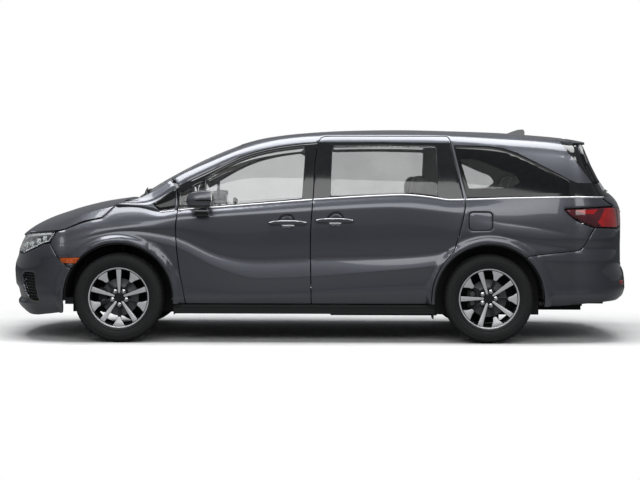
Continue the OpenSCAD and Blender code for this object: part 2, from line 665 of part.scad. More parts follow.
// The cowl, a tray from the hood's rear edge that rises to the foot of the windscreen
function cowl_pt(u, k, d) = k == 3 ? screen_pt(u * 0.97, 0.09, glass_t + pin_fit + 0.5 + d * 0.2)
    : k == 2 ? place([-1496 + 120 * u * u, u * 760, 1100 - d])
    : k == 1 ? place([-1504 + 60 * u * u, u * 800, 1080 - d])
    : place([-1602, u * 850, 1080 - d]);
module cowl_panel() {
    us = steps(-1, 1, 8);
    color(black) {
        wall([for (u = us) [for (k = [0:3]) cowl_pt(u, k, 0)]],
            [for (u = us) [for (k = [0:3]) cowl_pt(u, k, 30)]]);
        // fixed eyes of the hood's hinges
        both_sides() at_hood_hinge() rotate([0, 0, -90]) hinge_eye(sz(hood_pin[1]) - sz(1070));
    }
}

module side_mirror() {
    color(paint) difference() {
        union() {
            hull() {
                translate([sx(-1010), -sy(1085), sz(1155)]) rotate([0, 90, 0])
                    cylinder(r = 40, h = 105, $fn = 24);
                translate([sx(-1035), -sy(1000), sz(1150)]) rotate([0, 90, 0])
                    cylinder(r = 48, h = 160, $fn = 24);
            }
            translate([sx(-1010), -sy(1020), sz(1030)]) cube([100, 100, 90]);
        }
        flank(front_xs, [3, 4, 4.5, 5, 5.4, 5.8], 200);
    }
}

module tailgate_skin(as, zs, t) {
    intersection() {
        tail_wall(as, zs, t);
        end_cut(tailgate_line, sx(1800), sx(2900));
    }
}
glass_open = [[-580, 1600], [-665, 1450], [-720, 1300], [-735, 1225], [735, 1225], [720, 1300],
    [665, 1450], [580, 1600]];
inner_lamp = [[-420, 1085], [-420, 960], [-800, 925], [-800, 1108]];
// A bare number plate is fixed in the recess with four screws
module plate_recess() {
    translate([sx(plate_x), -170, sz(plate_z) - 85]) cube([200, 340, 170]);
    for (y = [-0.5, 0.5], z = [-0.5, 0.5])
        translate([sx(plate_x) + 1, y * plate_hole[0], sz(plate_z) + z * plate_hole[1]])
            rotate([0, -90, 0]) cylinder(r = 3.5, h = 12, $fn = 24);
}
module tailgate() {
    color(paint) difference() {
        tailgate_skin(steps(-80, 80, 16), [600, 640, 700, 800, 900, 1000, 1090, 1150, 1186, 1229,
            1340, 1452, 1576, 1630], panel_t);
        end_cut(glass_open, sx(1800), sx(2900));
        both_sides() end_cut(inner_lamp, sx(2200), sx(2900));
        plate_recess();
    }
}
module tailgate_window() {
    color(dark_glass) intersection() {
        tail_wall(steps(-70, 70, 10), [1200, 1229, 1340, 1452, 1576, 1620], glass_t, glass_in);
        end_cut(glass_open, sx(1800), sx(2900));
    }
}
// The spoiler at the roof's end, its tip bowed in plan
function spoiler_pt(u, t) = let (y = u * 600, a = roof_z(2090, y), tip = 2252 - 60 * u * u,
    z = a + (1655 - 25 * u * u - a) * pow(t, 1.3))
    place([2090 + (tip - 2090) * t, y, z]);
module roof_spoiler() {
    us = steps(-1, 1, 8);
    ts = [0, 0.3, 0.6, 0.8, 1];
    room = eye_w + 10;
    color(black) {
        difference() {
            wall([for (u = us) [for (t = ts) spoiler_pt(u, t)]],
                [for (u = us) [for (t = ts) let (p = spoiler_pt(u, t))
                    [p[0], p[1], min(p[2] - 8, sz(tailgate_top) + 0.5)]]]);
            both_sides() at_gate_hinge()
                translate([-40, -eye_r - 5, -room / 2]) cube([40 + eye_r + 5, 80, room]);
        }
        both_sides() at_gate_hinge() hinge_pin(room + 4);
    }
}
module tailgate_lamp() {
    color("#8e1c1f") intersection() {
        tail_wall(steps(-75, -20, 6), [900, 1000, 1090, 1130], panel_t, 2);
        end_cut(inner_lamp, sx(2200), sx(2900));
        end_cut(tailgate_line, sx(1800), sx(2900));
    }
}
module tail_lamp() {
    color("#8e1c1f") intersection() {
        union() {
            tail_wall([-90, -80, -68, -56, -46], [900, 1000, 1090, 1130], panel_t, 2);
            flank([1980, 2030, 2080], [3.5, 4, 4.5, 5], panel_t, 2);
        }
        side_cut(tail_lamp_line, -1);
        difference() {
            translate([sx(1900), -far, 0]) cube([1000, far, 2000]);
            end_cut(tailgate_line_wide(), sx(1800), sx(2900));
        }
    }
}
module rear_bumper() {
    color(paint) {
        difference() {
            union() {
                tail_wall(steps(-90, 90, 20), [316, 330, 372, 430, 500, 566, 600]);
                both_sides() flank(steps(1700, 2080, 5), [0.42, 0.7, 1, 1.5, 2, 3], cover_t);
                both_sides() tail_wall([-90, -80, -68, -56, -46], [600, 680, 748, 850, 960], cover_t);
            }
            both_sides() {
                arch_cut(axle_r, arch_r + flare_w);
                side_cut(bumper_over(), gap / 2);
            }
            end_cut(tailgate_line_wide(), sx(2200), sx(2900));
        }
        both_sides() flare(axle_r, -7, bumper_turn, 5, cover_t);
    }
}
// What lies over the rear bumper's upper edge
function bumper_over() = concat([[1400, 1500]], [for (k = [1:9]) rear_bumper_line[k]],
    [[2700, 1500]]);
module fuel_door() {
    color(paint) intersection() {
        flank(steps(1190, 1420, 2), [3.4, 4, 4.4, 4.8], 12);
        side_cut(fuel_door_line, -gap / 2);
    }
}

module dashboard() {
    color(black) translate([0, sy(740), 0]) rotate([90, 0, 0]) linear_extrude(2 * sy(740))
        polygon(shape([[-1149.7, 640], [-1149.7, 1020], [-1330, 1085], [-1300, 1105], [-1120, 1080],
            [-820, 1030], [-790, 960], [-860, 760], [-960, 640]]));
}
module steering_wheel() {
    color(black) translate([sx(-640), -sy(390), sz(1000)]) rotate([0, 66, 0]) {
        rotate_extrude($fn = 48) translate([175, 0]) circle(r = 15, $fn = 16);
        cylinder(r = 60, h = 20, center = true, $fn = 32);
        for (a = [0, 120, 240]) rotate([0, 0, a]) translate([55, -14, -6]) cube([108, 28, 12]);
        translate([0, 0, -154]) cylinder(r = 24, h = 154, $fn = 24);
    }
}

// A seat drawn in side view: cushion, back and head rest
module seat(x, y, w, back = 1180) {
    translate([sx(x) - 440, y - w * 0.4, floor_z + floor_t + pin_fit])
        cube([400, w * 0.8, sz(400) - floor_z - floor_t - pin_fit]);
    translate([0, y + w / 2, 0]) rotate([90, 0, 0]) linear_extrude(w)
        polygon(shape([[x - 520, 470], [x - 500, 570], [x - 60, 560], [x + 60, back],
            [x + 180, back - 20], [x + 70, 440], [x - 40, 400], [x - 500, 400]]));
    translate([0, y + 130, 0]) rotate([90, 0, 0]) linear_extrude(260)
        polygon(shape([[x + 60, back + 0.3], [x + 60, back + 30], [x + 90, back + 190],
            [x + 170, back + 180], [x + 165, back - 16]]));
}
module front_seats() { color(cloth) for (s = [-1, 1]) seat(-190, s * 390, 520); }
module rear_seats() {
    color(cloth) {
        for (s = [-1, 1]) seat(720, s * 440, 500);
        seat(1560, 0, 1040);
    }
}

module engine_block() {
    color(iron) translate([sx(-2150), -400, subframe_z + 60 + pin_fit]) cube([620, 800, 640]);
}
module wheel_liners() {
    r = arch_r - 3.3;
    color(black) for (cx = [axle_f, axle_r]) both_sides()
        translate([cx, -sy(978), axle_z]) rotate([-90, 0, 0]) rotate([0, 0, 180])
            rotate_extrude(angle = 180, $fn = 48) translate([r - 4, 0]) square([4, 430]);
}
module front_suspension() {
    color(iron) {
        translate([axle_f - 200, -500, subframe_z]) cube([400, 1000, 60]);
        both_sides() {
            for (x = [-150, 150]) translate([axle_f + x, -rail_y, subframe_z + 60])
                cylinder(r = 26, h = floor_z + 30 - subframe_z - 60 - pin_fit, $fn = 24);
            difference() {
                translate([axle_f - 30, -steer_y - 30, subframe_z]) cube([60, steer_y + 30 - 430, 28]);
                translate([axle_f, -steer_y, subframe_z - 1]) cylinder(r = 10 + pin_fit, h = 30, $fn = 32);
            }
            translate([axle_f, -strut_y, axle_z + 120 + pin_fit])
                cylinder(r = 28, h = arch_r - 9.7 - 120.6, $fn = 24);
        }
    }
}
module rear_suspension() {
    color(iron) {
        translate([axle_r + 20, -690, floor_z - 150]) cube([90, 1380, 90 - pin_fit]);
        both_sides() {
            translate([axle_r - 30, -730, floor_z - 150]) cube([60, 40, axle_z + 40 - floor_z + 150]);
            translate([axle_r, -720, axle_z]) rotate([90, 0, 0])
                cylinder(r = 34, h = wheel_y - hub_in - pin_fit - 720, $fn = 32);
        }
    }
}
// The left knuckle with its stub and strut clamp
module knuckle() {
    foot_z = subframe_z + 28 + pin_fit;
    color(iron) {
        translate([axle_f, -steer_y + 10, axle_z]) rotate([90, 0, 0])
            cylinder(r = 40, h = wheel_y - hub_in - pin_fit - steer_y + 10, $fn = 32);
        translate([axle_f - 25, -steer_y - 5, foot_z]) cube([50, 40, axle_z + 120 - foot_z]);
        translate([axle_f, -steer_y, subframe_z + 3]) cylinder(r = 10, h = 60, $fn = 32);
        translate([axle_f - 25, -steer_y + 20, axle_z + 90]) cube([50, steer_y - strut_y, 30]);
    }
}
module exhaust() {
    pipe_y = 560;
    color(steel) {
        translate([sx(-1100), pipe_y, floor_z - 28.3]) rotate([0, 90, 0])
            cylinder(r = 28, h = sx(1860) - sx(-1100), $fn = 24);
        translate([sx(1860), pipe_y + 30, floor_z - 54]) rotate([0, 90, 0])
            cylinder(r = 48, h = 380, $fn = 32);
    }
}
module fuel_tank() {
    color(black) translate([sx(100), -420, floor_z - 120.3]) cube([900, 480, 120]);
}

// Tyre: a round section with grooves, and the wheel inside it
module tyre(s) {
    w = tyre_w / 2;
    color("#202123") rotate([90, 0, 0]) rotate_extrude($fn = 96) difference() {
        polygon([[rim_r - 2, -w * 0.80], [rim_r + 24, -w * 0.98], [rim_r + 56, -w],
            [tyre_r - 26, -w * 0.95], [tyre_r - 7, -w * 0.80], [tyre_r, -w * 0.62],
            [tyre_r, w * 0.62], [tyre_r - 7, w * 0.80], [tyre_r - 26, w * 0.95],
            [rim_r + 56, w], [rim_r + 24, w * 0.98], [rim_r - 2, w * 0.80]]);
        for (y = [-54, -18, 18, 54]) translate([tyre_r - 7, y - 5]) square([9, 10]);
    }
}
module wheel(s, turn) {
    w = tyre_w / 2;
    color(alloy) rotate([s * 90, 0, 0]) rotate([0, 0, turn]) {
        // barrel, with the outer face towards +Z here
        rotate_extrude($fn = 96) polygon([[rim_r - 26, -w * 0.8], [rim_r - 2, -w * 0.8],
            [rim_r - 2, w * 0.8], [rim_r - 18, w * 0.8], [rim_r - 26, w * 0.5]]);
        difference() {
            rotate_extrude($fn = 96) polygon([[0, w * 0.30], [60, w * 0.36], [rim_r - 24, w * 0.5],
                [rim_r - 18, w * 0.74], [120, w * 0.62], [70, w * 0.52], [0, w * 0.52]]);
            for (i = [0:spokes - 1], k = [-1, 1]) rotate([0, 0, i * 360 / spokes])
                linear_extrude(w * 2) polygon([for (p = [[84, 24], [218, 36], [221, 50], [213, 78],
                    [139, 64], [127, 72], [76, 37]]) [p[0], k * p[1]]]);
        }
        translate([0, 0, -hub_in]) cylinder(r = 75, h = hub_in + w * 0.34, $fn = 48);
        translate([0, 0, -12]) cylinder(r = 160, h = 26, $fn = 64);
    }
}
module at_wheel(cx, s) { translate([cx, s * wheel_y, axle_z]) children(); }

floor_pan();
both_sides() side_frame();  // side_frames
roof_panel();
both_sides() front_fender();  // front_fenders
hood();
front_bumper();
front_grille();
both_sides() front_lamp();  // front_lamps
windshield();
cowl_panel();
both_sides() side_window();  // side_windows
front_door();  // front_door_left
mirror([0, 1, 0]) front_door();  // front_door_right
front_window();  // front_window_left
mirror([0, 1, 0]) front_window();  // front_window_right
side_mirror();  // mirror_left
mirror([0, 1, 0]) side_mirror();  // mirror_right
both_sides() slide_door();  // sliding_doors
tailgate();
tailgate_window();
roof_spoiler();
both_sides() tailgate_lamp();  // tailgate_lamps
both_sides() tail_lamp();  // tail_lamps
rear_bumper();
fuel_door();
dashboard();
steering_wheel();
front_seats();
rear_seats();
engine_block();
wheel_liners();
front_suspension();
rear_suspension();
knuckle();  // knuckle_left
mirror([0, 1, 0]) knuckle();  // knuckle_right
exhaust();
fuel_tank();
at_wheel(axle_f, -1) tyre(1);  // tyre_front_left
at_wheel(axle_f, 1) tyre(-1);  // tyre_front_right
at_wheel(axle_r, -1) tyre(1);  // tyre_rear_left
at_wheel(axle_r, 1) tyre(-1);  // tyre_rear_right
at_wheel(axle_f, -1) wheel(1, 90);  // wheel_front_left
at_wheel(axle_f, 1) wheel(-1, 90);  // wheel_front_right
at_wheel(axle_r, -1) wheel(1, 180);  // wheel_rear_left
at_wheel(axle_r, 1) wheel(-1, 180);  // wheel_rear_right
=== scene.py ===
# %% [markdown]
# A seven-seat minivan in one lesson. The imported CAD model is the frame: it gives every piece its
# place and its joint. Here each panel gets its real skin, gaps and finish. Lengths in the tables
# are millimetres, because car bodies are drawn that way, and Blender itself works in metres.
# The nose points to -X, the left side to -Y, and the ground is at Z = 0.

# %% Load the frame
import math
import bpy
import numpy as np
from mathutils import Matrix, Vector
from mathutils.geometry import delaunay_2d_cdt


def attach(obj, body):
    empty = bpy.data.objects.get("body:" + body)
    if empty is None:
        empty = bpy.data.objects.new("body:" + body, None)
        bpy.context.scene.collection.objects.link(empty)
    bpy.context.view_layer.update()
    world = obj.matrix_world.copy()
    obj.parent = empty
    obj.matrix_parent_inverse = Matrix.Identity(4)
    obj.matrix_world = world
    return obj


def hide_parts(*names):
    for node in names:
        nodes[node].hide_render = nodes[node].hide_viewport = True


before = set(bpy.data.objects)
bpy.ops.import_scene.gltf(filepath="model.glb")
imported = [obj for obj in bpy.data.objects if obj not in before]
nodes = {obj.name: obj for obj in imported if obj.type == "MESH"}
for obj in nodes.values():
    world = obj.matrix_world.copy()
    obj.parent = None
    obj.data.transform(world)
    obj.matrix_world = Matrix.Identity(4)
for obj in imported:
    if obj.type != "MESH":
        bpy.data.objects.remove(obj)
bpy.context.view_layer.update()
MM = 0.001

# %% [markdown]
# Every finish is a named material built from shader nodes. Colours are written as the hex
# values a painter would note and turned to linear light by one function. One small function adds
# a node, sets its values and links its inputs, so each finish reads as a short recipe.

# %% Helpers for materials
def linear(hex_code):
    values = [int(hex_code[i:i + 2], 16) / 255 for i in (1, 3, 5)]
    return tuple(v / 12.92 if v < 0.04045 else ((v + 0.055) / 1.055) ** 2.4 for v in values) + (1,)


def add(material, kind, values=None, links=None, **settings):
    node = material.node_tree.nodes.new(kind)
    for key, value in settings.items():
        setattr(node, key, value)
    for key, value in (values or {}).items():
        node.inputs[key].default_value = value
    for key, socket in (links or {}).items():
        material.node_tree.links.new(socket, node.inputs[key])
    return node


def finish(name, colour, **values):
    """A new material and its principled shader."""
    material = bpy.data.materials.new(name)
    material.use_nodes = True
    shader = material.node_tree.nodes["Principled BSDF"]
    shader.inputs["Base Color"].default_value = linear(colour)
    for key, value in values.items():
        shader.inputs[key.replace("_", " ")].default_value = value
    return material, shader


def speckle(material, shader, light, dark, size_mm, low=0.4, high=0.6):
    """Two shades of one colour, mixed in grains of a real size."""
    place = add(material, "ShaderNodeTexCoord").outputs["Object"]
    noise = add(material, "ShaderNodeTexNoise", {"Scale": 1000 / size_mm, "Detail": 2.0},
                {"Vector": place})
    ramp = add(material, "ShaderNodeValToRGB", links={"Fac": noise.outputs["Fac"]})
    ramp.color_ramp.elements[0].position, ramp.color_ramp.elements[1].position = low, high
    ramp.color_ramp.elements[0].color = linear(dark)
    ramp.color_ramp.elements[1].color = linear(light)
    material.node_tree.links.new(ramp.outputs["Color"], shader.inputs["Base Color"])
    return noise


def relief(material, shader, height, depth_mm, strength):
    """A bump whose height socket is worth this many millimetres."""
    bump = add(material, "ShaderNodeBump", {"Strength": strength, "Distance": depth_mm * MM},
               {"Height": height})
    material.node_tree.links.new(bump.outputs["Normal"], shader.inputs["Normal"])


def recipe(name, colour, light, dark, size_mm, bump=None, low=0.4, high=0.6, **values):
    """A finish with grains of two shades and, where asked, a bump: depth in mm and strength."""
    material, shader = finish(name, colour, **values)
    grain = speckle(material, shader, light, dark, size_mm, low, high)
    if bump:
        relief(material, shader, grain.outputs["Fac"], *bump)
    return material


# %% [markdown]
# The body colour is a grey metallic paint: aluminium flakes in a tinted coat, sealed by clear
# lacquer. Flakes are some tenths of a millimetre across, too fine for this view, so they are
# drawn a little coarser, as a faint sparkle in the colour. The lacquer is a smooth coat on top.

# %% Paint, chrome and black trim
paint = recipe("grey metallic basecoat and clear lacquer", "#5b5d64", "#63656d", "#53555c", 1.5,
               low=0.3, high=0.7, Metallic=0.72, Roughness=0.33, Coat_Weight=1.0,
               Coat_Roughness=0.03, Coat_IOR=1.5)

chrome = recipe("polished chrome plating on plastic", "#d9dade", "#dcdde0", "#cfd0d4", 40,
                Metallic=1.0, Roughness=0.09)

gloss_black = recipe("piano black moulded plastic", "#141517", "#17181a", "#121315", 60,
                     Roughness=0.12, Coat_Weight=0.6, Coat_Roughness=0.04)

grained_black = recipe("grained black polypropylene", "#1d1e20", "#222325", "#1a1b1c", 3,
                       (0.5, 0.5), Roughness=0.62)

rubber_seal = recipe("extruded rubber seal", "#101112", "#131415", "#0d0e0f", 12, Roughness=0.75)

# %% [markdown]
# Glass is laminated in front and tempered at the sides. The front panes are nearly clear, the
# panes behind the centre pillar are dyed privacy glass. Each pane is a closed 5 mm sheet, so
# light bends in and out of it and the cabin shows through.

# %% Glass and lamps
clear_glass = recipe("clear tempered glass", "#dcdedd", "#dedfdf", "#dadbdb", 300, Roughness=0.0,
                     IOR=1.5, Transmission_Weight=1.0)
privacy_glass = recipe("dyed privacy glass", "#d0d1d1", "#d3d4d4", "#cdcece", 300, Roughness=0.0,
                       IOR=1.5, Transmission_Weight=1.0)
black_edge = recipe("fired black enamel on glass", "#0f1011", "#121314", "#0d0e0f", 40,
                    Roughness=0.1)
lens_clear = recipe("clear polycarbonate lens", "#eef1f2", "#f0f2f3", "#e8ebec", 200,
                    Roughness=0.02, IOR=1.58, Transmission_Weight=1.0)
lens_red = recipe("red acrylic lens", "#c4161c", "#d81c22", "#a81014", 90, low=0.35, high=0.65,
                  Roughness=0.06, Coat_Weight=1.0, Coat_Roughness=0.02)
lens_smoked = recipe("smoked red acrylic lens", "#541a22", "#5c1d26", "#48161d", 60,
                     Roughness=0.06, Coat_Weight=1.0, Coat_Roughness=0.02)
lens_orange = recipe("orange acrylic lens", "#c8560f", "#d35d12", "#b94c0c", 30, Roughness=0.1,
                     Coat_Weight=1.0)

# %% Wheels, cabin and running gear
tyre_rubber = recipe("vulcanised tyre rubber", "#202122", "#242526", "#1c1d1e", 6, (0.4, 0.4),
                     Roughness=0.75)

turned_alloy = recipe("diamond-turned aluminium under lacquer", "#e2e3e6", "#e6e7ea", "#dcdde0", 5,
                      Metallic=0.3, Roughness=0.36)
dark_alloy = recipe("gloss black painted aluminium", "#17181a", "#1a1b1d", "#141517", 30,
                    Metallic=0.2, Roughness=0.22, Coat_Weight=0.6)
cast_iron = recipe("machined cast iron", "#6c6e70", "#77797b", "#5c5e60", 8, Metallic=0.9,
                   Roughness=0.42)
black_steel = recipe("black e-coated steel", "#1c1d1f", "#222325", "#171819", 25, Metallic=0.3,
                     Roughness=0.55)
bare_steel = recipe("stainless exhaust steel", "#8b8a86", "#918f8a", "#7c7a75", 60, Metallic=1.0,
                    Roughness=0.38)

soft_trim = recipe("soft-touch moulded trim", "#2b2c2f", "#303134", "#27282a", 2, (0.4, 0.5),
                   Roughness=0.7)
headliner = recipe("knitted headliner cloth", "#b3b0a8", "#bab7af", "#aba8a0", 2, (0.5, 0.6),
                   Roughness=0.95, Sheen_Weight=0.3)
carpet = recipe("needled floor carpet", "#202123", "#28292b", "#18191a", 3, (2.0, 0.8),
                Roughness=1.0, Sheen_Weight=0.2)
seat_leather = recipe("grained seat leather", "#3a3a3c", "#404042", "#343436", 4, (0.6, 0.6),
                      Roughness=0.5)
print("materials", len(bpy.data.materials))

# %% [markdown]
# The body is drawn as a lines plan, as in a drawing office. Nine lines run along the flank, from
# the sill (0) over the shoulder (4) and the belt under the windows (5) up to the roof seam (8).
# Each row is a station, a height and a half width in millimetres. Between two stations a line is
# a smooth curve, and between two lines the skin bulges a few millimetres. These are the same
# lines as the CAD part's, sampled here far more finely.

# %% The lines plan
FOOT = [[-2330, 235, 840], [-2080, 240, 900], [-1165, 248, 905], [900, 248, 905],
        [1850, 262, 890], [2300, 300, 830]]
SILL = [[-2330, 372, 885], [-2080, 370, 945], [-1165, 365, 966], [-60, 395, 976], [890, 430, 976],
        [1400, 420, 978], [1853, 380, 962], [2300, 400, 890]]
LOW = [[-2330, 640, 890], [-2080, 690, 950], [-1620, 840, 968], [-1165, 775, 972],
       [-836, 615, 978], [-573, 530, 983], [-440, 521, 984], [-60, 538, 984], [356, 572, 983],
       [894, 622, 982], [1380, 690, 984], [1850, 660, 966], [2300, 640, 895]]
BAND = [[-2330, 730, 880], [-2080, 790, 936], [-1620, 900, 958], [-1165, 860, 958],
        [-836, 720, 960], [-573, 668, 961], [-60, 682, 961], [894, 715, 962], [1380, 850, 976],
        [1850, 800, 955], [2300, 760, 888]]
SHOULDER = [[-2330, 800, 842], [-2200, 855, 880], [-1900, 925, 925], [-1607, 955, 946],
            [-1358, 972, 955], [-1147, 992, 960], [-742, 1025, 963], [-47, 1066, 966],
            [418, 1090, 967], [651, 1093, 968], [931, 1066, 968], [1168, 1038, 968],
            [1409, 992, 968], [1720, 948, 958], [2082, 878, 932], [2300, 850, 885]]
BELT = [[-2330, 865, 740], [-2209, 918, 764], [-2074, 982, 790], [-1918, 1040, 815],
        [-1757, 1082, 832], [-1641, 1102, 846], [-1450, 1092, 874], [-1296, 1056, 905],
        [-1150, 1070, 915], [-815, 1094, 920], [-39, 1156, 924], [420, 1186, 925],
        [681, 1196, 925], [800, 1190, 926], [962, 1170, 927], [1036, 1158, 927],
        [1191, 1160, 926], [1550, 1172, 920], [1933, 1181, 905], [2300, 1187, 850]]
TOP = [[-1500, 1130, 850], [-1365, 1140, 868], [-1149, 1262, 852], [-926, 1369, 828],
       [-632, 1512, 790], [-320, 1593, 762], [8, 1628, 750], [521, 1636, 748], [1078, 1622, 748],
       [1519, 1590, 742], [1950, 1558, 720], [2300, 1500, 680]]
RAIL = [[-1500, 1150, 820], [-1365, 1190, 825], [-1149, 1332, 806], [-926, 1444, 782],
        [-632, 1572, 744], [-320, 1652, 712], [8, 1686, 698], [521, 1691, 697],
        [1078, 1685, 696], [1519, 1658, 688], [1950, 1628, 664], [2300, 1570, 620]]
SEAM = [[-1500, 1160, 800], [-1395, 1216, 792], [-1150, 1366, 757], [-900, 1488, 715],
        [-580, 1624, 655], [-320, 1680, 640], [8, 1708, 628], [521, 1716, 625],
        [1078, 1709, 625], [1519, 1690, 615], [1950, 1662, 590], [2300, 1610, 550]]
LINES = [np.array(t, float) for t in (FOOT, SILL, LOW, BAND, SHOULDER, BELT, TOP, RAIL, SEAM)]
LOW_AT, SHOULDER_AT, BELT_AT, SEAM_AT = 2, 4, 5, 8
BULGE = [6, -5, 2, 5, 9, 15, 9, 6, 0]
RIDGE = np.array([[-2560, 820], [-2510, 868], [-2466, 901], [-2361, 968], [-2256, 1015],
                  [-2151, 1051], [-2046, 1085], [-1941, 1113], [-1835, 1138], [-1730, 1156],
                  [-1625, 1171], [-1520, 1192]], float)
CROWN = np.array([[-800, 1580], [-678, 1624], [-573, 1656], [-468, 1681], [-363, 1698],
                  [-258, 1712], [-153, 1723], [58, 1740], [268, 1750], [584, 1757], [794, 1757],
                  [1110, 1750], [1425, 1741], [1600, 1733], [1846, 1715], [2056, 1697],
                  [2161, 1682]], float)
NOSE = np.array([[188, -2470], [225, -2530], [272, -2578], [300, -2580], [335, -2556],
                 [411, -2578], [445, -2598], [500, -2604], [566, -2607], [618, -2600],
                 [684, -2574], [737, -2566], [800, -2540], [860, -2506], [900, -2472],
                 [930, -2430]], float)
TAIL = np.array([[255, 2300], [290, 2430], [330, 2540], [372, 2588], [430, 2606], [500, 2602],
                 [566, 2592], [600, 2575], [640, 2562], [800, 2560], [1000, 2562], [1090, 2556],
                 [1150, 2530], [1186, 2500], [1229, 2448], [1340, 2372], [1452, 2300],
                 [1576, 2232], [1620, 2208], [1660, 2180], [1700, 2150]], float)
NOSE_END, TAIL_END, NOSE_POWER, TAIL_POWER, NOSE_HALF = -2060, 2080, 2.25, 2.8, 945
NOSE_TIP, TAIL_TIP = NOSE[8], TAIL[4]
# the drawing's origin is 0.5 mm from the frame's along X
SHIFT = 0.5
FRONT_AXLE, REAR_AXLE, AXLE_Z = -1620, 1380, 362
WHEEL_Y, ARCH_R, FLARE, HALF_WIDTH = 855, 443, 62, 997
PANEL_GAP, GLASS_DEEP, GLASS_THICK = 6, 6, 5


def smooth(table, x, k=1):
    """The smooth curve through a table's rows, read at every x."""
    x = np.clip(np.asarray(x, float), table[0, 0], table[-1, 0])
    i = np.clip(np.searchsorted(table[:, 0], x, side="right") - 1, 0, len(table) - 2)
    rows = np.arange(len(table))
    before, after = np.maximum(rows - 1, 0), np.minimum(rows + 1, len(table) - 1)
    slopes = (table[after, k] - table[before, k]) / (table[after, 0] - table[before, 0])
    h = table[i + 1, 0] - table[i, 0]
    s = (x - table[i, 0]) / h
    return ((2 * s ** 3 - 3 * s * s + 1) * table[i, k] + (s ** 3 - 2 * s * s + s) * h * slopes[i]
            + (3 * s * s - 2 * s ** 3) * table[i + 1, k] + (s ** 3 - s * s) * h * slopes[i + 1])


def flank_at(x, v):
    """Height and half width of the flank at stations x and line counts v."""
    x, v = np.broadcast_arrays(np.asarray(x, float), np.asarray(v, float))
    heights = np.array([smooth(t, x, 1) for t in LINES])
    halves = np.array([smooth(t, x, 2) for t in LINES])
    i = np.clip(np.floor(v).astype(int), 0, len(LINES) - 2)
    t = v - i
    pick = lambda rows, k: np.take_along_axis(rows, k[None], 0)[0]
    z = pick(heights, i) * (1 - t) + pick(heights, i + 1) * t
    y = (pick(halves, i) * (1 - t) + pick(halves, i + 1) * t
         + 4 * t * (1 - t) * np.array(BULGE, float)[i])
    return z, y


def line_count(x, z):
    """The line count at which the flank has a height."""
    x, z = np.broadcast_arrays(np.asarray(x, float), np.asarray(z, float))
    heights = np.array([smooth(t, x, 1) for t in LINES])
    i = np.clip((z[None] >= heights[1:]).cumprod(0).sum(0), 0, len(LINES) - 2)
    low = np.take_along_axis(heights, i[None], 0)[0]
    high = np.take_along_axis(heights, i[None] + 1, 0)[0]
    return i + np.clip((z - low) / (high - low), 0, 1)


def half_width(x, z):
    return flank_at(x, line_count(x, z))[1]


def setback(y):
    """How far the nose's outline in plan has fallen back at a half width."""
    inner = np.maximum(1 - (np.abs(y) / NOSE_HALF) ** NOSE_POWER, 0)
    return (NOSE_END - NOSE_TIP[1]) * (1 - inner ** (1 / NOSE_POWER))


def hood_height(x, y):
    edge_y, edge_z = smooth(LINES[BELT_AT], x, 2), smooth(LINES[BELT_AT], x, 1)
    s = np.abs(y) / edge_y
    return smooth(RIDGE, x - setback(y)) - (smooth(RIDGE, x - setback(edge_y)) - edge_z) * s ** 3


def roof_height(x, y):
    edge_y, edge_z = smooth(LINES[SEAM_AT], x, 2), smooth(LINES[SEAM_AT], x, 1)
    return edge_z + (smooth(CROWN, x) - edge_z) * (1 - (y / edge_y) ** 2)


print("lines", len(LINES), "shoulder height at the centre pillar",
      round(float(smooth(LINES[SHOULDER_AT], -60)), 1), "mm")

# %% [markdown]
# A panel is drawn flat first, as a pattern, then laid on the body's surface. There are three
# patterns: the flank is unrolled along its length and its lines, the nose and the tail are
# unrolled by the angle round their corners. Each surface function takes a point of the pattern
# and gives a point in space. Wheel arches swell outwards into a flare.

# %% The three surfaces
# the unrolled height of each line, and the length of one degree of a corner
ROLL = np.array([0, 150, 380, 510, 800, 910, 1390, 1465, 1545], float)
DEGREE = 13.0
FLARE_RISE, FLARE_OUT = 46, 14


def flare_out(x, y, z):
    """Half width with the swelling round both wheel arches."""
    for axle in (FRONT_AXLE, REAR_AXLE):
        r = np.hypot(x - axle, z - AXLE_Z)
        t = np.clip((ARCH_R + FLARE + FLARE_OUT - r) / FLARE_RISE, 0, 1)
        t = t * t * (3 - 2 * t)
        y = y + np.maximum(HALF_WIDTH - 3 - y, 0) * t
    return y


def end_round(x, y, z):
    """Half width where the flank turns into the nose or the tail."""
    tip = np.interp(z, NOSE[:, 0], NOSE[:, 1])
    s = np.clip((NOSE_END - x) / (NOSE_END - tip), 0, 1)
    y = np.where(x < NOSE_END, y * (1 - s ** NOSE_POWER) ** (1 / NOSE_POWER), y)
    tip = np.interp(z, TAIL[:, 0], TAIL[:, 1])
    s = np.clip((x - TAIL_END) / (tip - TAIL_END), 0, 1)
    return np.where(x > TAIL_END, y * (1 - s ** TAIL_POWER) ** (1 / TAIL_POWER), y)


def flank(p):
    """Left flank: the pattern's axes are the station and the unrolled height."""
    x, v = p[:, 0], np.interp(p[:, 1], ROLL, np.arange(9))
    z, y = flank_at(np.clip(x, NOSE_END, TAIL_END), v)
    y = end_round(x, flare_out(x, y, z), z)
    return np.stack([x, -y, z], 1)


def on_flank(points):
    """Side-view points (station, height) on the flank's pattern."""
    p = np.array(points, float)
    v = line_count(np.clip(p[:, 0], NOSE_END, TAIL_END), p[:, 1])
    return np.stack([p[:, 0], np.interp(v, np.arange(9), ROLL)], 1)


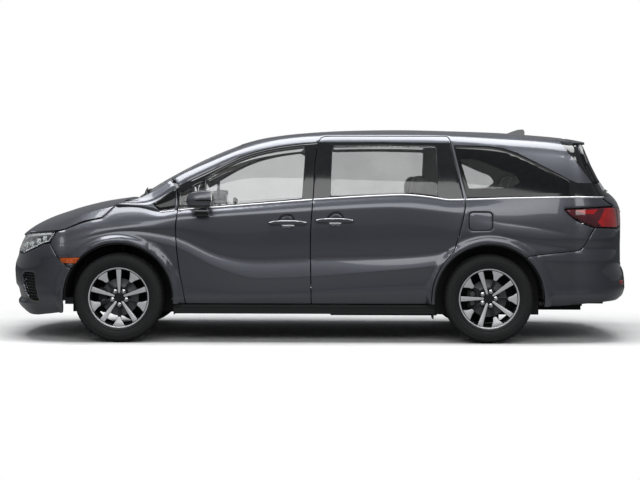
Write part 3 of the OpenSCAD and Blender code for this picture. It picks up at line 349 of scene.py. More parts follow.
def end_surface(p, end, table, power, sign):
    """Nose or tail: axes are the angle round the end, past 90 degrees the flank, and height."""
    a, z = p[:, 0] / DEGREE, p[:, 1]
    turn = np.radians(np.clip(np.abs(a), 0, 90))
    tip = np.interp(z, table[:, 0], table[:, 1])
    past = np.maximum(np.abs(a) - 90, 0) * DEGREE * sign
    x = end - (end - tip) * np.cos(turn) ** (2 / power) + past
    w = half_width(np.clip(x, NOSE_END, TAIL_END), z)
    y = np.sign(a) * flare_out(x, w * np.sin(turn) ** (2 / power), z)
    return np.stack([x, y, z], 1)


def nose(p):
    return end_surface(p, NOSE_END, NOSE, NOSE_POWER, 1)


def tail(p):
    return end_surface(p, TAIL_END, TAIL, TAIL_POWER, -1)


def on_end_side(points, end, table, power, sign):
    """Side-view points of the left side on the end's pattern."""
    p = np.array(points, float)
    tip = np.interp(p[:, 1], table[:, 0], table[:, 1])
    s = np.clip((p[:, 0] - end) / (tip - end), 0, 1)
    a = np.degrees(np.arccos(s ** (power / 2))) + np.maximum((p[:, 0] - end) * sign, 0) / DEGREE
    return np.stack([-a * DEGREE, p[:, 1]], 1)


def on_end_face(points, end, power):
    """End-view points (half width, height) on the end's pattern."""
    p = np.array(points, float)
    w = half_width(np.full(len(p), float(end)), p[:, 1])
    s = np.clip(np.abs(p[:, 0]) / w, 0, 1)
    a = np.degrees(np.arcsin(s ** (power / 2)))
    return np.stack([np.sign(p[:, 0]) * a * DEGREE, p[:, 1]], 1)


side_on_nose = lambda pts: on_end_side(pts, NOSE_END, NOSE, NOSE_POWER, 1)
side_on_tail = lambda pts: on_end_side(pts, TAIL_END, TAIL, TAIL_POWER, -1)
face_on_nose = lambda pts: on_end_face(pts, NOSE_END, NOSE_POWER)
face_on_tail = lambda pts: on_end_face(pts, TAIL_END, TAIL_POWER)
print("nose tip", nose(np.array([[0, NOSE_TIP[0]]])).round(1),
      "tail tip", tail(np.array([[0, TAIL_TIP[0]]])).round(1))

# %% [markdown]
# A pattern becomes a panel in four steps. Its corners are rounded, it is filled with small even
# triangles, it is laid on the surface, and it gets its thickness inwards. Along every edge the
# skin rolls in by a few millimetres, as pressed steel does, and that roll catches the light beside
# each gap. Modelling such a sheet by hand from a grid would leave ragged cuts, so it is woven here
# by constrained triangulation.

# %% Weave a panel
def rounded(points, corner=12, bend=90, steps=5):
    """The closed outline with its corners rounded, gentle bends more than sharp ones."""
    p = np.array(points, float)
    p = p[np.linalg.norm(p - np.roll(p, 1, 0), axis=1) > 0.5]
    out = []
    for k in range(len(p)):
        a, b, c = p[k - 1], p[k], p[(k + 1) % len(p)]
        u, w = a - b, c - b
        lu, lw = np.linalg.norm(u), np.linalg.norm(w)
        turn = 180 - math.degrees(math.acos(np.clip(u @ w / (lu * lw), -1, 1)))
        r = min(corner if turn > 32 else bend, 0.46 * lu, 0.46 * lw)
        start, finish_at = b + u / lu * r, b + w / lw * r
        for t in np.linspace(0, 1, steps):
            out.append((1 - t) ** 2 * start + 2 * t * (1 - t) * b + t * t * finish_at)
    return np.array(out)


def dense(points, step, closed=True):
    """Points added along each edge so none is longer than the step."""
    p = np.array(points, float)
    out = []
    for k in range(len(p) if closed else len(p) - 1):
        a, b = p[k], p[(k + 1) % len(p)]
        n = max(1, int(math.ceil(np.linalg.norm(b - a) / step)))
        if np.linalg.norm(b - a) > 0.3:
            out += [a + (b - a) * j / n for j in range(n)]
    if not closed:
        out.append(p[-1])
    return np.array(out)


def area(p):
    return 0.5 * float(np.sum(p[:, 0] * np.roll(p[:, 1], -1) - np.roll(p[:, 0], -1) * p[:, 1]))


def shrunk(p, d):
    """A closed outline moved to its inner side by d."""
    edge = np.roll(p, -1, 0) - p
    edge /= np.linalg.norm(edge, axis=1)[:, None] + 1e-9
    normal = np.stack([-edge[:, 1], edge[:, 0]], 1) * (1 if area(p) > 0 else -1)
    both = normal + np.roll(normal, 1, 0)
    both /= np.maximum((both * both).sum(1) / 2, 0.6)[:, None]
    return p + both * d


def inside(p, loop):
    """Which points lie inside a closed outline."""
    hit = np.zeros(len(p), bool)
    for a, b in zip(loop, np.roll(loop, -1, 0)):
        if a[1] == b[1]:
            continue
        cross = (p[:, 1] > min(a[1], b[1])) & (p[:, 1] <= max(a[1], b[1]))
        x = a[0] + (p[:, 1] - a[1]) * (b[0] - a[0]) / (b[1] - a[1])
        hit ^= cross & (p[:, 0] < x)
    return hit


def far_from(p, others, distance):
    keep = np.ones(len(p), bool)
    for block in np.array_split(others, max(1, len(others) // 200)):
        gap = ((p[:, None] - block[None]) ** 2).sum(2).min(1)
        keep &= gap > distance ** 2
    return keep


def weave(name, surface, outline, holes=(), depth=40, step=24, roll=3.5, down=0.0, zones=(),
          finishes=(), mirror=False, dents=(), sink=None):
    """A closed panel: outline and holes on the pattern, its thickness and the roll of its edges.

    depth is a number or a function of the points in space. zones are outlines whose inside takes
    the second finish, the third and so on. The last finish is the inner face's. dents are hollows
    on the pattern: centre, half sizes and depth. sink gives a depth for each distance to the edge.
    """
    loops = [dense(outline, step)] + [dense(h, step) for h in holes]
    rings, depths, edges = [], [], []

    def add_ring(ring, drop):
        first = sum(len(r) for r in rings)
        rings.append(ring)
        depths.append(np.full(len(ring), float(drop)))
        edges.extend((first + k, first + (k + 1) % len(ring)) for k in range(len(ring)))

    for number, loop in enumerate(loops):
        inward = 1 if number == 0 else -1
        for inset, drop in ((0, roll), (roll * 0.35, roll * 0.3), (roll * 1.3, 0)):
            add_ring(shrunk(loop, inset * inward), drop)
    for zone in zones:
        add_ring(dense(zone, step), 0)
    rim, depths = np.concatenate(rings), np.concatenate(depths)
    low, high = loops[0].min(0), loops[0].max(0)
    nx, nz = (np.ceil((high - low) / step)).astype(int)
    gx, gz = np.meshgrid(np.linspace(low[0], high[0], nx + 1),
                         np.linspace(low[1], high[1], nz + 1))
    grid = np.stack([gx.ravel(), gz.ravel()], 1)
    for cx, cz, rx, rz, _ in dents:
        grid = grid[((grid - [cx, cz]) ** 2 / [(rx + 20) ** 2, (rz + 20) ** 2]).sum(1) > 1]
        dx, dz = np.meshgrid(np.arange(-rx - 8, rx + 9, 7), np.arange(-rz - 8, rz + 9, 6))
        fine = np.stack([dx.ravel() + cx, dz.ravel() + cz], 1)
        grid = np.concatenate([grid, fine])
    grid = grid[inside(grid, loops[0])]
    for loop in loops[1:]:
        grid = grid[~inside(grid, loop)]
    grid = grid[far_from(grid, rim, step * 0.42 if not dents else 6)]
    points = np.concatenate([rim, grid])
    verts, _, faces, origin, _, _ = delaunay_2d_cdt([Vector(q) for q in points], edges, [], 0,
                                                    1e-4)
    flat = np.array([tuple(v) for v in verts])
    drops = np.concatenate([depths, np.zeros(len(grid))])
    drop = np.array([max(drops[o]) if o else 0.0 for o in origin])
    # points made where lines cross take the depth of the edge they lie on
    for k, o in enumerate(origin):
        if not o:
            near = np.argmin(((rim - flat[k]) ** 2).sum(1))
            drop[k] = depths[near] * (np.linalg.norm(rim[near] - flat[k]) < step * 0.6)
    tri = np.array([f for f in faces if len(f) == 3])
    centre = flat[tri].mean(1)
    keep = inside(centre, loops[0])
    for loop in loops[1:]:
        keep &= ~inside(centre, loop)
    tri, centre = tri[keep], centre[keep]
    a, b, c = flat[tri[:, 0]], flat[tri[:, 1]], flat[tri[:, 2]]
    size = (b[:, 0] - a[:, 0]) * (c[:, 1] - a[:, 1]) - (b[:, 1] - a[:, 1]) * (c[:, 0] - a[:, 0])
    wrong = size > 0 if surface is nose else size < 0
    tri[wrong] = tri[wrong][:, ::-1]
    kind = np.zeros(len(tri), int)
    for number, zone in enumerate(zones):
        kind[inside(centre, np.array(zone, float))] = number + 1
    base = surface(flat)
    du = surface(flat + [1.0, 0]) - surface(flat - [1.0, 0])
    dv = surface(flat + [0, 1.0]) - surface(flat - [0, 1.0])
    normal = np.cross(du, dv) * (-1 if surface is nose else 1)
    normal /= np.linalg.norm(normal, axis=1)[:, None] + 1e-9
    thick = depth(base) if callable(depth) else np.full(len(base), float(depth))
    hollow = np.zeros(len(base))
    for cx, cz, rx, rz, deep in dents:
        q = np.clip(1 - ((flat - [cx, cz]) ** 2 / [rx ** 2, rz ** 2]).sum(1), 0, 1)
        hollow += deep * np.sqrt(q * (2 - q))
    if sink:
        gap = np.min([np.sqrt(((flat - q) ** 2).sum(1)) for q in rim[:len(loops[0])]], 0)
        hollow += np.array([sink(g) for g in gap])
        thick = thick + hollow
    outer = base - normal * (drop + down + hollow)[:, None]
    inner = base - normal * (thick + down)[:, None]
    used = np.unique(tri)
    index = {int(v): k for k, v in enumerate(used)}
    n = len(used)
    front = [[index[int(v)] for v in t] for t in tri]
    back = [[t[2] + n, t[1] + n, t[0] + n] for t in front]
    halves = dict.fromkeys((t[k], t[(k + 1) % 3]) for t in front for k in range(3))
    sides = [(p + n, q + n, q, p) for p, q in halves if (q, p) not in halves]
    coords = np.concatenate([outer[used], inner[used]])
    coords[:, 0] += SHIFT
    kinds = list(kind) + [len(finishes) - 1] * len(back) + [0] * len(sides)
    return make(name, coords * MM, front + back + sides, kinds, finishes, mirror)


def make(name, coords, faces, kinds, finishes, mirror=False):
    """The mesh object, and its mirrored twin in the same mesh where both sides are one piece."""
    if mirror in (True, "right"):
        twin = coords * [1, -1, 1]
        turned = [f[::-1] for f in faces]
        if mirror == "right":
            coords, faces = twin, turned
        else:
            n = len(coords)
            faces = list(faces) + [[v + n for v in f] for f in turned]
            coords, kinds = np.concatenate([coords, twin]), list(kinds) * 2
    mesh = bpy.data.meshes.new(name)
    mesh.from_pydata([tuple(c) for c in coords], [], [list(map(int, f)) for f in faces])
    for item in finishes:
        mesh.materials.append(item)
    mesh.polygons.foreach_set("material_index", [int(k) for k in kinds])
    mesh.polygons.foreach_set("use_smooth", [True] * len(mesh.polygons))
    mesh.update()
    ob = bpy.data.objects.new(name, mesh)
    bpy.context.collection.objects.link(ob)
    only(ob)
    bpy.ops.object.shade_smooth_by_angle(angle=math.radians(32))
    return ob


def only(ob):
    """Select and activate just this object."""
    for other in bpy.context.selected_objects:
        other.select_set(False)
    ob.select_set(True)
    bpy.context.view_layer.objects.active = ob


def edit(ob):
    """Edit mode with everything selected."""
    only(ob)
    bpy.ops.object.mode_set(mode="EDIT")
    bpy.ops.mesh.select_all(action="SELECT")


def outwards(ob):
    """Every face turned to the outside."""
    edit(ob)
    bpy.ops.mesh.normals_make_consistent(inside=False)
    bpy.ops.object.mode_set(mode="OBJECT")
    return ob


def dress(piece, body="root", *replaced):
    """The piece rides a body of the frame, and stands for the nodes named."""
    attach(piece, body)
    if replaced:
        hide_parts(*replaced)
    print(piece.name, len(piece.data.polygons), "faces on", body)
    return piece

# %% [markdown]
# The outlines are where one panel stops and the next begins, drawn in side view or end view.
# Neighbours share one line and each stays 3 mm back from it, which leaves the even 6 mm gaps that
# a body shop checks with a feeler gauge. Above the belt the doors are black: a gloss cover hides
# the frame, so the side windows look like one dark band.

# %% Outlines
FRONT_DOOR = [(-1149, 1262), (-926, 1369), (-780, 1440), (-632, 1512), (-480, 1560),
              (-320, 1593), (-150, 1616), (-8, 1627), (-35, 1467), (-48, 1166), (-61, 1026),
              (-71, 838), (-66, 560), (-60, 316), (-1078, 316), (-1096, 418), (-1130, 588),
              (-1155, 817), (-1161, 934), (-1139, 1111)]
SLIDE_DOOR = [(-8, 1627), (14, 1668), (50, 1683), (1050, 1686), (1072, 1660), (1080, 1607),
              (1140, 1330), (1169, 1174), (1183, 1141), (1181, 1100), (1169, 1034), (1145, 930),
              (1099, 770), (1060, 710), (1018, 665), (975, 605), (940, 530), (916, 445),
              (908, 330), (906, 316), (-60, 316), (-66, 560), (-71, 838), (-61, 1026),
              (-48, 1166), (-35, 1467)]
FRONT_GLASS = [(-905, 1340), (-780, 1413), (-632, 1484), (-480, 1533), (-320, 1566),
               (-112, 1592), (-138, 1172), (-470, 1142), (-815, 1112), (-930, 1106),
               (-925, 1330)]
DOOR_LIGHT = [(-950, 1306), (-953, 1104), (-1128, 1092), (-1128, 1212)]
SLIDE_GLASS = [(108, 1600), (540, 1608), (962, 1600), (958, 1190), (800, 1208), (681, 1214),
               (420, 1204), (92, 1190)]
QUARTER_GLASS = [(1104, 1594), (1383, 1588), (1500, 1572), (1610, 1535), (1729, 1478),
                 (1938, 1366), (2040, 1314), (2030, 1196), (1550, 1188), (1203, 1178),
                 (1150, 1400)]
QUARTER_LIGHT = [(-1352, 1122), (-1172, 1242), (-1160, 1240), (-1168, 1086), (-1296, 1070)]
FENDER = [(-2181, 803), (-2130, 893), (-2074, 908), (-1918, 973), (-1761, 1006),
          (-1655, 1114), (-1560, 1146), (-1440, 1178), (-1395, 1208), (-1300, 1268),
          (-1220, 1322), (-1158, 1262), (-1139, 1111), (-1161, 934), (-1155, 817),
          (-1130, 588), (-1096, 418), (-1078, 316)]
MARKER = [(-2098, 683), (-1921, 690), (-1960, 641), (-2081, 641)]
FUEL_DOOR = [(1211, 914), (1402, 914), (1402, 1066), (1211, 1066)]
BUMPER_TOP = [(1700, 712), (2115, 757), (2143, 789), (2240, 942)]
TAIL_LAMP = [(1987, 1090), (2400, 1110), (2316, 936), (2152, 973), (2054, 1022)]
GATE_SIDE = [(640, 1618), (668, 1560), (730, 1450), (789, 1304), (822, 1205), (800, 1150),
             (722, 1112), (706, 1000), (700, 900), (668, 740), (620, 622)]
TAILGATE = [(-y, z) for y, z in GATE_SIDE] + GATE_SIDE[::-1]
REAR_GLASS = [(-580, 1600), (-665, 1450), (-720, 1300), (-735, 1225), (735, 1225), (720, 1300),
              (665, 1450), (580, 1600)]
INNER_LAMP = [(-420, 1085), (-420, 960), (-702, 932), (-714, 1104)]
PLATE_RECESS = [(-165, 765), (165, 765), (165, 935), (-165, 935)]
GARNISH = [(1995, 1660), (2008, 1611), (2231, 1303), (2300, 1196), (2420, 1196), (2420, 1660)]


def arc(axle, start, end, n=24, r=ARCH_R):
    """Points of a wheel arch between two angles."""
    return [(axle + r * math.cos(math.radians(a)), AXLE_Z + r * math.sin(math.radians(a)))
            for a in np.linspace(start, end, n)]


def line_at(v, x0, x1, n=40, up=0):
    """Side-view points along a line of the plan."""
    xs = np.linspace(x0, x1, n)
    z, _ = flank_at(xs, np.full(n, float(v)))
    return [(float(a), float(b) + up) for a, b in zip(xs, z)]


def corner_line(points):
    """End-view points of the tail as side-view points of its left corner."""
    p = np.abs(np.array(points, float))
    w = half_width(np.full(len(p), float(TAIL_END)), p[:, 1])
    tip = np.interp(p[:, 1], TAIL[:, 0], TAIL[:, 1])
    s = (1 - np.clip(p[:, 0] / w, 0, 1) ** TAIL_POWER) ** (1 / TAIL_POWER)
    return [(TAIL_END + (t - TAIL_END) * k, z) for t, k, z in zip(tip, s, p[:, 1])]


def pattern(points, convert, inset=PANEL_GAP / 2, corner=12, bend=90):
    """An outline rounded, set back for the gap and laid on the pattern."""
    return shrunk(convert(dense(rounded(points, corner, bend), 12)), inset)


def door_depth(base):
    """Doors are thick below the window and thin round it."""
    v = line_count(np.clip(base[:, 0], NOSE_END, TAIL_END), base[:, 2])
    return np.interp(v, [4.7, 5.1], [74, 36])


BLACK_BAND = line_at(BELT_AT, -1400, 2100, 120, 4) + [(2100, 1760), (-1400, 1760)]
print("outlines of", len(FRONT_DOOR) + len(SLIDE_DOOR) + len(FENDER), "points")

# %% [markdown]
# The front doors carry the shoulder crease, the hollow flank and the bright sweep under it. All of
# that is in the lines, so the doors need only their outline and their window. The sliding doors
# are cut the same way. The paint stops at the belt, and the frame above it is gloss black.

# %% Doors
def zone(points):
    return on_flank(dense(points, 30))


def creases(x0, x1, *numbers):
    """Narrow strips on both sides of a line of the plan, so that the mesh turns sharply there."""
    wide, count = 9, int((x1 - x0) / 24)
    return [on_flank(line_at(number, x0, x1, count, up - wide)
                     + line_at(number, x0, x1, count, up)[::-1])
            for number in numbers for up in (0, wide)]


def cup(x, z):
    """The hollow behind a door handle: centre, half sizes and depth."""
    return tuple(on_flank([(x, z)])[0]) + (66, 40, 24)


def pane(name, surface, outline, finishes, mirror=False, zones=(), step=40):
    """A sheet of glass, set back from the skin's face."""
    return weave(name, surface, outline, (), GLASS_THICK, step, 0.5, GLASS_DEEP, zones=zones,
                 finishes=finishes, mirror=mirror)


for side, flip in (("left", False), ("right", "right")):
    door = weave("front_door_skin_" + side, flank, pattern(FRONT_DOOR, on_flank),
                 [pattern(FRONT_GLASS, on_flank, 0, 20), pattern(DOOR_LIGHT, on_flank, 0, 10)],
                 door_depth, 24,
                 zones=[zone(BLACK_BAND)] + creases(-1130, -70, LOW_AT, SHOULDER_AT),
                 finishes=[paint, gloss_black] + [paint] * 4 + [soft_trim], mirror=flip,
                 dents=[cup(-262, 990)])
    dress(door, "front_door_" + side, "front_door_" + side)
    for kind, outline, corner, node in (("glass_", FRONT_GLASS, 20, ["front_window_" + side]),
                                        ("light_", DOOR_LIGHT, 10, [])):
        dress(pane("front_door_" + kind + side, flank, pattern(outline, on_flank, 0.5, corner),
                   [clear_glass, clear_glass], flip), "front_door_" + side, *node)

upper_slide = [(-100, 1630), (540, 1634), (1200, 1626), (1200, 1800), (-100, 1800)]
slide = weave("sliding_door_skins", flank, pattern(SLIDE_DOOR, on_flank),
              [pattern(SLIDE_GLASS, on_flank, 0, 24)], door_depth, 24,
              zones=[zone(BLACK_BAND), zone(upper_slide)] + creases(-40, 1130, SHOULDER_AT)
              + creases(-40, 930, LOW_AT),
              finishes=[paint, gloss_black] + [paint] * 5 + [soft_trim], mirror=True,
              dents=[cup(134, 1008)])
dress(slide, "root", "sliding_doors")

# %% [markdown]
# The body side is one long pressing: the windscreen pillar, the rail over the doors and the rear
# quarter down to the wheel arch. Its edge follows both doors, the arch, the bumper, the lamp and
# the tailgate. The quarter window and the fuel door are openings in it.

# %% Body sides
tailgate_edge = corner_line([(y + 4, z) for y, z in GATE_SIDE[6:0:-1]]
                            + [(648, 1600), (640, 1640)])
side_edge = (FRONT_DOOR[0:8] + SLIDE_DOOR[1:20] + arc(REAR_AXLE, 186, 48.6)
             + BUMPER_TOP + TAIL_LAMP[3:5] + TAIL_LAMP[0:1] + [(2400, 1110)])
seam_back = [(x, ROLL[SEAM_AT]) for x in np.linspace(2104, -1215, 60)]
edge = on_flank(dense(rounded(side_edge + tailgate_edge, 10, 60), 14))
end_at = int(np.argmin(((edge - on_flank(tailgate_edge[-1:])) ** 2).sum(1)))
frame_edge = shrunk(np.concatenate([edge[:end_at], np.array(seam_back)]), 3)
quarter_surround = [(1098, 1612), (1383, 1606), (1512, 1588), (1620, 1552), (1740, 1490),
                    (1938, 1387), (2047, 1328), (2110, 1304), (2256, 1303), (2300, 1196),
                    (1550, 1177), (1190, 1160), (1142, 1400)]
window_hole = pattern(QUARTER_GLASS, on_flank, 0, 24)
for side, flip, holes in (("left", False, [window_hole, pattern(FUEL_DOOR, on_flank, -3, 40)]),
                          ("right", "right", [window_hole])):
    body = weave("body_side_skin_" + side, flank, frame_edge, holes, 46, 24,
                 zones=[zone(quarter_surround), zone(GARNISH)] + creases(1190, 1980, SHOULDER_AT),
                 finishes=[paint, gloss_black, gloss_black, paint, paint, headliner],
                 mirror=flip)
    dress(body, "root", *(["side_frames"] if side == "left" else []))
# fired enamel hides the trim and leaves a smaller clear field
clear_field = [(1150, 1500), (1296, 1500), (1462, 1424), (1592, 1376), (1636, 1316), (1566, 1264),
               (1216, 1250)]
dress(pane("quarter_glass", flank, pattern(QUARTER_GLASS, on_flank, 0.5, 24),
           [black_edge, privacy_glass, privacy_glass], True,
           [zone(rounded(clear_field, 20, 200, 3))]), "root", "side_windows")
dress(pane("sliding_door_glass", flank, pattern(SLIDE_GLASS, on_flank, 0.5, 24),
           [privacy_glass, privacy_glass], True), "root")
light = weave("fixed_front_lights", flank, pattern(QUARTER_LIGHT, on_flank, 1, 14), (), 6, 30, 1.5,
              1, finishes=[black_edge, black_edge], mirror=True)
dress(light, "root")
fuel = weave("fuel_door_skin", flank, pattern(FUEL_DOOR, on_flank, 3, 40), (), 12, 24, 2.5,
             finishes=[paint, soft_trim])
dress(fuel, "fuel_door", "fuel_door")

# %% [markdown]
# The fender reaches from the bumper to the door and from the hood down to the arch. A small
# black window stands between it and the door, where the belt begins.

# %% Fenders
fender_edge = (FENDER + arc(FRONT_AXLE, -6, 148) + [(-2060, 636), (-2110, 682)])
fender = weave("fender_skins", flank, pattern(fender_edge, on_flank),
               [pattern(QUARTER_LIGHT, on_flank, -0.5, 14), pattern(MARKER, on_flank, -0.5, 4)],
               4, 22, zones=creases(-1560, -1170, SHOULDER_AT, LOW_AT),
               finishes=[paint] * 6, mirror=True)
dress(fender, "root", "front_fenders")

# %% [markdown]
# The sill is a black plastic moulding below the doors. Its face carries two steps, so it is drawn
# as a section and pushed along the body, as an extruder would make it.

# %% Sill covers
def sweep(name, section, path, finishes, mirror=False):
    """A closed section (out, up) in millimetres carried along points with their way outwards."""
    coords, faces = [], []
    n = len(section)
    for point, out in path:
        out = np.array(out, float) / np.linalg.norm(out)
        for a, b in section:
            coords.append(np.array(point) + out * a + np.array([0, 0, 1.0]) * b)
    rows = len(path)
    for r in range(rows - 1):
        for k in range(n):
            a, b = r * n + k, r * n + (k + 1) % n
            faces.append([a, b, b + n, a + n])
    faces += [list(range(n))[::-1], [(rows - 1) * n + k for k in range(n)]]
    coords = np.array(coords)
    coords[:, 0] += SHIFT
    return outwards(make(name, coords * MM, faces, [0] * len(faces), finishes, mirror))


sill_section = [(-56, 0), (0, 0), (3, 4), (3, 22), (-4, 26), (-4, 44), (-12, 50), (-12, 74),
                (-56, 74)]
sill_path = [((x, -float(half_width(x, 300.0)) - 1, 236.0), (0, -1, 0))
             for x in np.linspace(-1168, 936, 40)]
sill = sweep("sill_covers", sill_section, sill_path, [grained_black], mirror=True)
dress(sill, "root")

# %% [markdown]
# Hood and roof are wide crowned sheets. The hood wraps a little over the fenders, so its pattern
# runs across the top and then on down each side. The roof lies between the two rails and stops at
# a shallow ditch on each side.

# %% Hood
HOOD_SIDE = np.array([(-2700, 860), (-2520, 866), (-2450, 876), (-2126, 905), (-2074, 916),
                      (-1918, 981), (-1753, 1016), (-1645, 1124), (-1572, 1150),
                      (-1400, 1250)], float)
HOOD_LONG, HOOD_WIDE, HOOD_REAR, HOOD_FRONT, HOOD_CORNER = 930.0, 840.0, -1605.0, -2535, 752
# how many lines of the plan the hood's side reaches down for one hood width
DOWN_SIDE = 1.3


def hood(p):
    """The hood: its pattern's axes are the length and the width, past HOOD_WIDE down the side."""
    q = p[:, 1] / HOOD_WIDE
    k = np.minimum(np.abs(q), 1)
    front = HOOD_FRONT + setback(k * HOOD_CORNER)
    x = front + (HOOD_REAR - front) * p[:, 0] / HOOD_LONG
    e = smooth(LINES[BELT_AT], x, 2)
    z_top = hood_height(x, k * e)
    z_side, y_side = flank_at(x, BELT_AT - (np.abs(q) - k) * DOWN_SIDE)
    over = np.abs(q) > 1
    y = np.sign(q) * np.where(over, y_side, k * e)
    return np.stack([x, y, np.where(over, z_side, z_top)], 1)


hood_edge = []
corner_x = HOOD_FRONT + float(setback(float(HOOD_CORNER)))
for t in np.linspace(0, HOOD_LONG, 60):
    x = corner_x + (HOOD_REAR - corner_x) * t / HOOD_LONG
    v = float(line_count(x, np.interp(x, HOOD_SIDE[:, 0], HOOD_SIDE[:, 1])))
    hood_edge.append((t, max(0.9, 1 + (BELT_AT - v) / DOWN_SIDE) * HOOD_WIDE))
side = np.array(hood_edge)
hood_loop = np.concatenate([side * [1, -1], side[::-1]])
hood_piece = weave("hood_skin", hood, shrunk(rounded(hood_loop, 30, 30, 3), 3), (), 34, 26, 5,
                   finishes=[paint, black_steel])
dress(hood_piece, "hood", "hood")


# %% Roof
def roof(p):
    return np.stack([p[:, 0], p[:, 1], roof_height(p[:, 0], p[:, 1])], 1)


def seam_y(x):
    return float(smooth(LINES[SEAM_AT], x, 2)) - 4


# the windscreen's foot and head in the middle of the van: station, half width and height
SCREEN_FOOT, SCREEN_HEAD = (-1548, 792, 1180), (-684, 652, 1621)
ROOF_FRONT, ROOF_REAR = -560, 2077
front = [(SCREEN_HEAD[0] + 92 * (y / SCREEN_HEAD[1]) ** 2, y) for y in np.linspace(-640, 640, 30)]
right = [(x, seam_y(x)) for x in np.linspace(ROOF_FRONT, ROOF_REAR, 50)]
left = [(x, -seam_y(x)) for x in np.linspace(ROOF_REAR, ROOF_FRONT, 50)]
roof_piece = weave("roof_skin", roof, rounded(front + right + left, 20, 30, 3), (), 30, 30, 4,
                   finishes=[paint, headliner])
dress(roof_piece, "root", "roof_panel")

# %% [markdown]
# The front cover is one moulding from wheel to wheel, unrolled by its angle round the nose. The
# two grilles and the corner vents are openings. The lamps sit in the notch above it.

# %% Front bumper
lamp_inner = face_on_nose([(-500, 712), (-500, 846)])
cut = side_on_nose(dense([(-2181, 803), (-2110, 682), (-2060, 636)]
                         + arc(FRONT_AXLE, 148, 188, 10), 14, False))
lamp_low = side_on_nose(dense([(-2420, 706), (-2391, 721), (-2232, 795), (-2181, 803)], 14, False))
bottom = [(a * DEGREE, z) for a, z in ((-90, 240), (-75, 222), (-60, 205), (-40, 196), (0, 192))]
half = np.concatenate([[[0, 852]], face_on_nose([(-300, 852), (-485, 846)]), lamp_inner[:1],
                       lamp_low, cut, dense(bottom, 30, False)])
loop = np.concatenate([half, half[::-1][1:-1] * [-1, 1]])
UPPER_GRILLE = [(-462, 836), (-478, 770), (-440, 690), (-360, 640), (360, 640), (440, 690),
                (478, 770), (462, 836)]
LOWER_GRILLE = [(-520, 420), (-470, 320), (470, 320), (520, 420), (420, 440), (-420, 440)]
VENT = [(-862, 560), (-870, 318), (-800, 318), (-716, 392), (-706, 520), (-760, 560)]
mirrored = lambda pts: [(-a, b) for a, b in pts[::-1]]
holes = [pattern(h, face_on_nose, 0, 16)
         for h in (UPPER_GRILLE, LOWER_GRILLE, VENT, mirrored(VENT))]
holes += [pattern(MARKER, side_on_nose, -0.5, 4)]
cover = weave("front_bumper_cover", nose, shrunk(rounded(loop, 14, 40, 3), 2.5), holes, 24, 22, 4,
              finishes=[paint, grained_black])
dress(cover, "root", "front_bumper")

# %% Rear bumper
arch_edge = arc(REAR_AXLE, -8, 48.6, 14)
side_top = dense(arch_edge + BUMPER_TOP, 14, False)
low = np.array([(a * DEGREE, z) for a, z in ((-100, 298), (-80, 322), (-60, 331), (0, 335))])
gate_line = face_on_tail(dense([(-700, 930), (-694, 860), (-676, 740), (-628, 614), (0, 614)],
                               20, False))
half = np.concatenate([side_on_tail(side_top), gate_line])
loop = np.concatenate([half, (half * [-1, 1])[::-1][1:], low[:3] * [-1, 1], low[::-1]])
insert = face_on_tail(dense([(-660, 604), (660, 604), (610, 400), (560, 340), (-560, 340),
                             (-610, 400)], 24))
rear_cover = weave("rear_bumper_cover", tail, shrunk(rounded(loop, 14, 40, 3), 2.5), (), 24, 22, 4,
                   zones=[insert], finishes=[paint, grained_black, grained_black])
dress(rear_cover, "root", "rear_bumper")

# %% Tailgate and its glass
gate = weave("tailgate_skin", tail, pattern(TAILGATE, face_on_tail, 0.5, 30),
             [pattern(REAR_GLASS, face_on_tail, 0, 30),
              pattern(INNER_LAMP, face_on_tail, -0.5, 10),
              pattern(mirrored(INNER_LAMP), face_on_tail, -0.5, 10),
              pattern(PLATE_RECESS, face_on_tail, 0, 14)], 34, 24, 4,
             zones=[face_on_tail(dense([(-850, 1192), (850, 1192), (850, 1640), (-850, 1640)],
                                       30))],
             finishes=[paint, gloss_black, soft_trim])
dress(gate, "tailgate", "tailgate")
dress(pane("tailgate_glass", tail, pattern(REAR_GLASS, face_on_tail, 0.5, 30),
           [privacy_glass, privacy_glass], step=30), "tailgate", "tailgate_window")
# %% [markdown]
# The smaller pieces are modelled from primitives in edit mode. Four short tools cover most of
# them: a wire profile that is spun, an outline that is extruded, a cube that is bevelled, and a
# move that sets the finished mesh in its place. A wheel is drawn lying down, with its outer face
# up, and then stood on its axle.

# %% Modelling tools
def drawn(name, points, edges=(), faces=(), finishes=()):
    """A mesh object from a few drawn points, selected and in edit mode."""
    mesh = bpy.data.meshes.new(name)
    mesh.from_pydata([tuple(float(v) for v in p) for p in points], list(edges), list(faces))
    for item in finishes:
        mesh.materials.append(item)
    ob = bpy.data.objects.new(name, mesh)
    bpy.context.collection.objects.link(ob)
    only(ob)
    bpy.ops.object.mode_set(mode="EDIT")
    bpy.ops.mesh.select_all(action="SELECT")
    return ob


def done(ob, angle=32, bevel=0, segments=2):
    """Leave edit mode with normals outwards, edges bevelled and faces smoothed by angle."""
    bpy.ops.mesh.select_all(action="SELECT")
    bpy.ops.mesh.remove_doubles(threshold=0.00001)
    bpy.ops.mesh.normals_make_consistent(inside=False)
    bpy.ops.object.mode_set(mode="OBJECT")
    if bevel:
        soften = ob.modifiers.new("edge", "BEVEL")
        soften.width, soften.segments, soften.limit_method = bevel * MM, segments, "ANGLE"
        bpy.ops.object.modifier_apply(modifier="edge")
    bpy.ops.object.shade_smooth_by_angle(angle=math.radians(angle))
    return ob


def lathe(name, profile, finishes, steps=96, closed=True):
    """A profile of (radius, height) in millimetres spun round the upright axis."""
    n = len(profile)
    edges = [(k, (k + 1) % n) for k in range(n if closed else n - 1)]
    ob = drawn(name, [(r * MM, 0, z * MM) for r, z in profile], edges, (), finishes)
    bpy.ops.mesh.spin(steps=steps, angle=math.tau, center=(0, 0, 0), axis=(0, 0, 1))
    return done(ob)


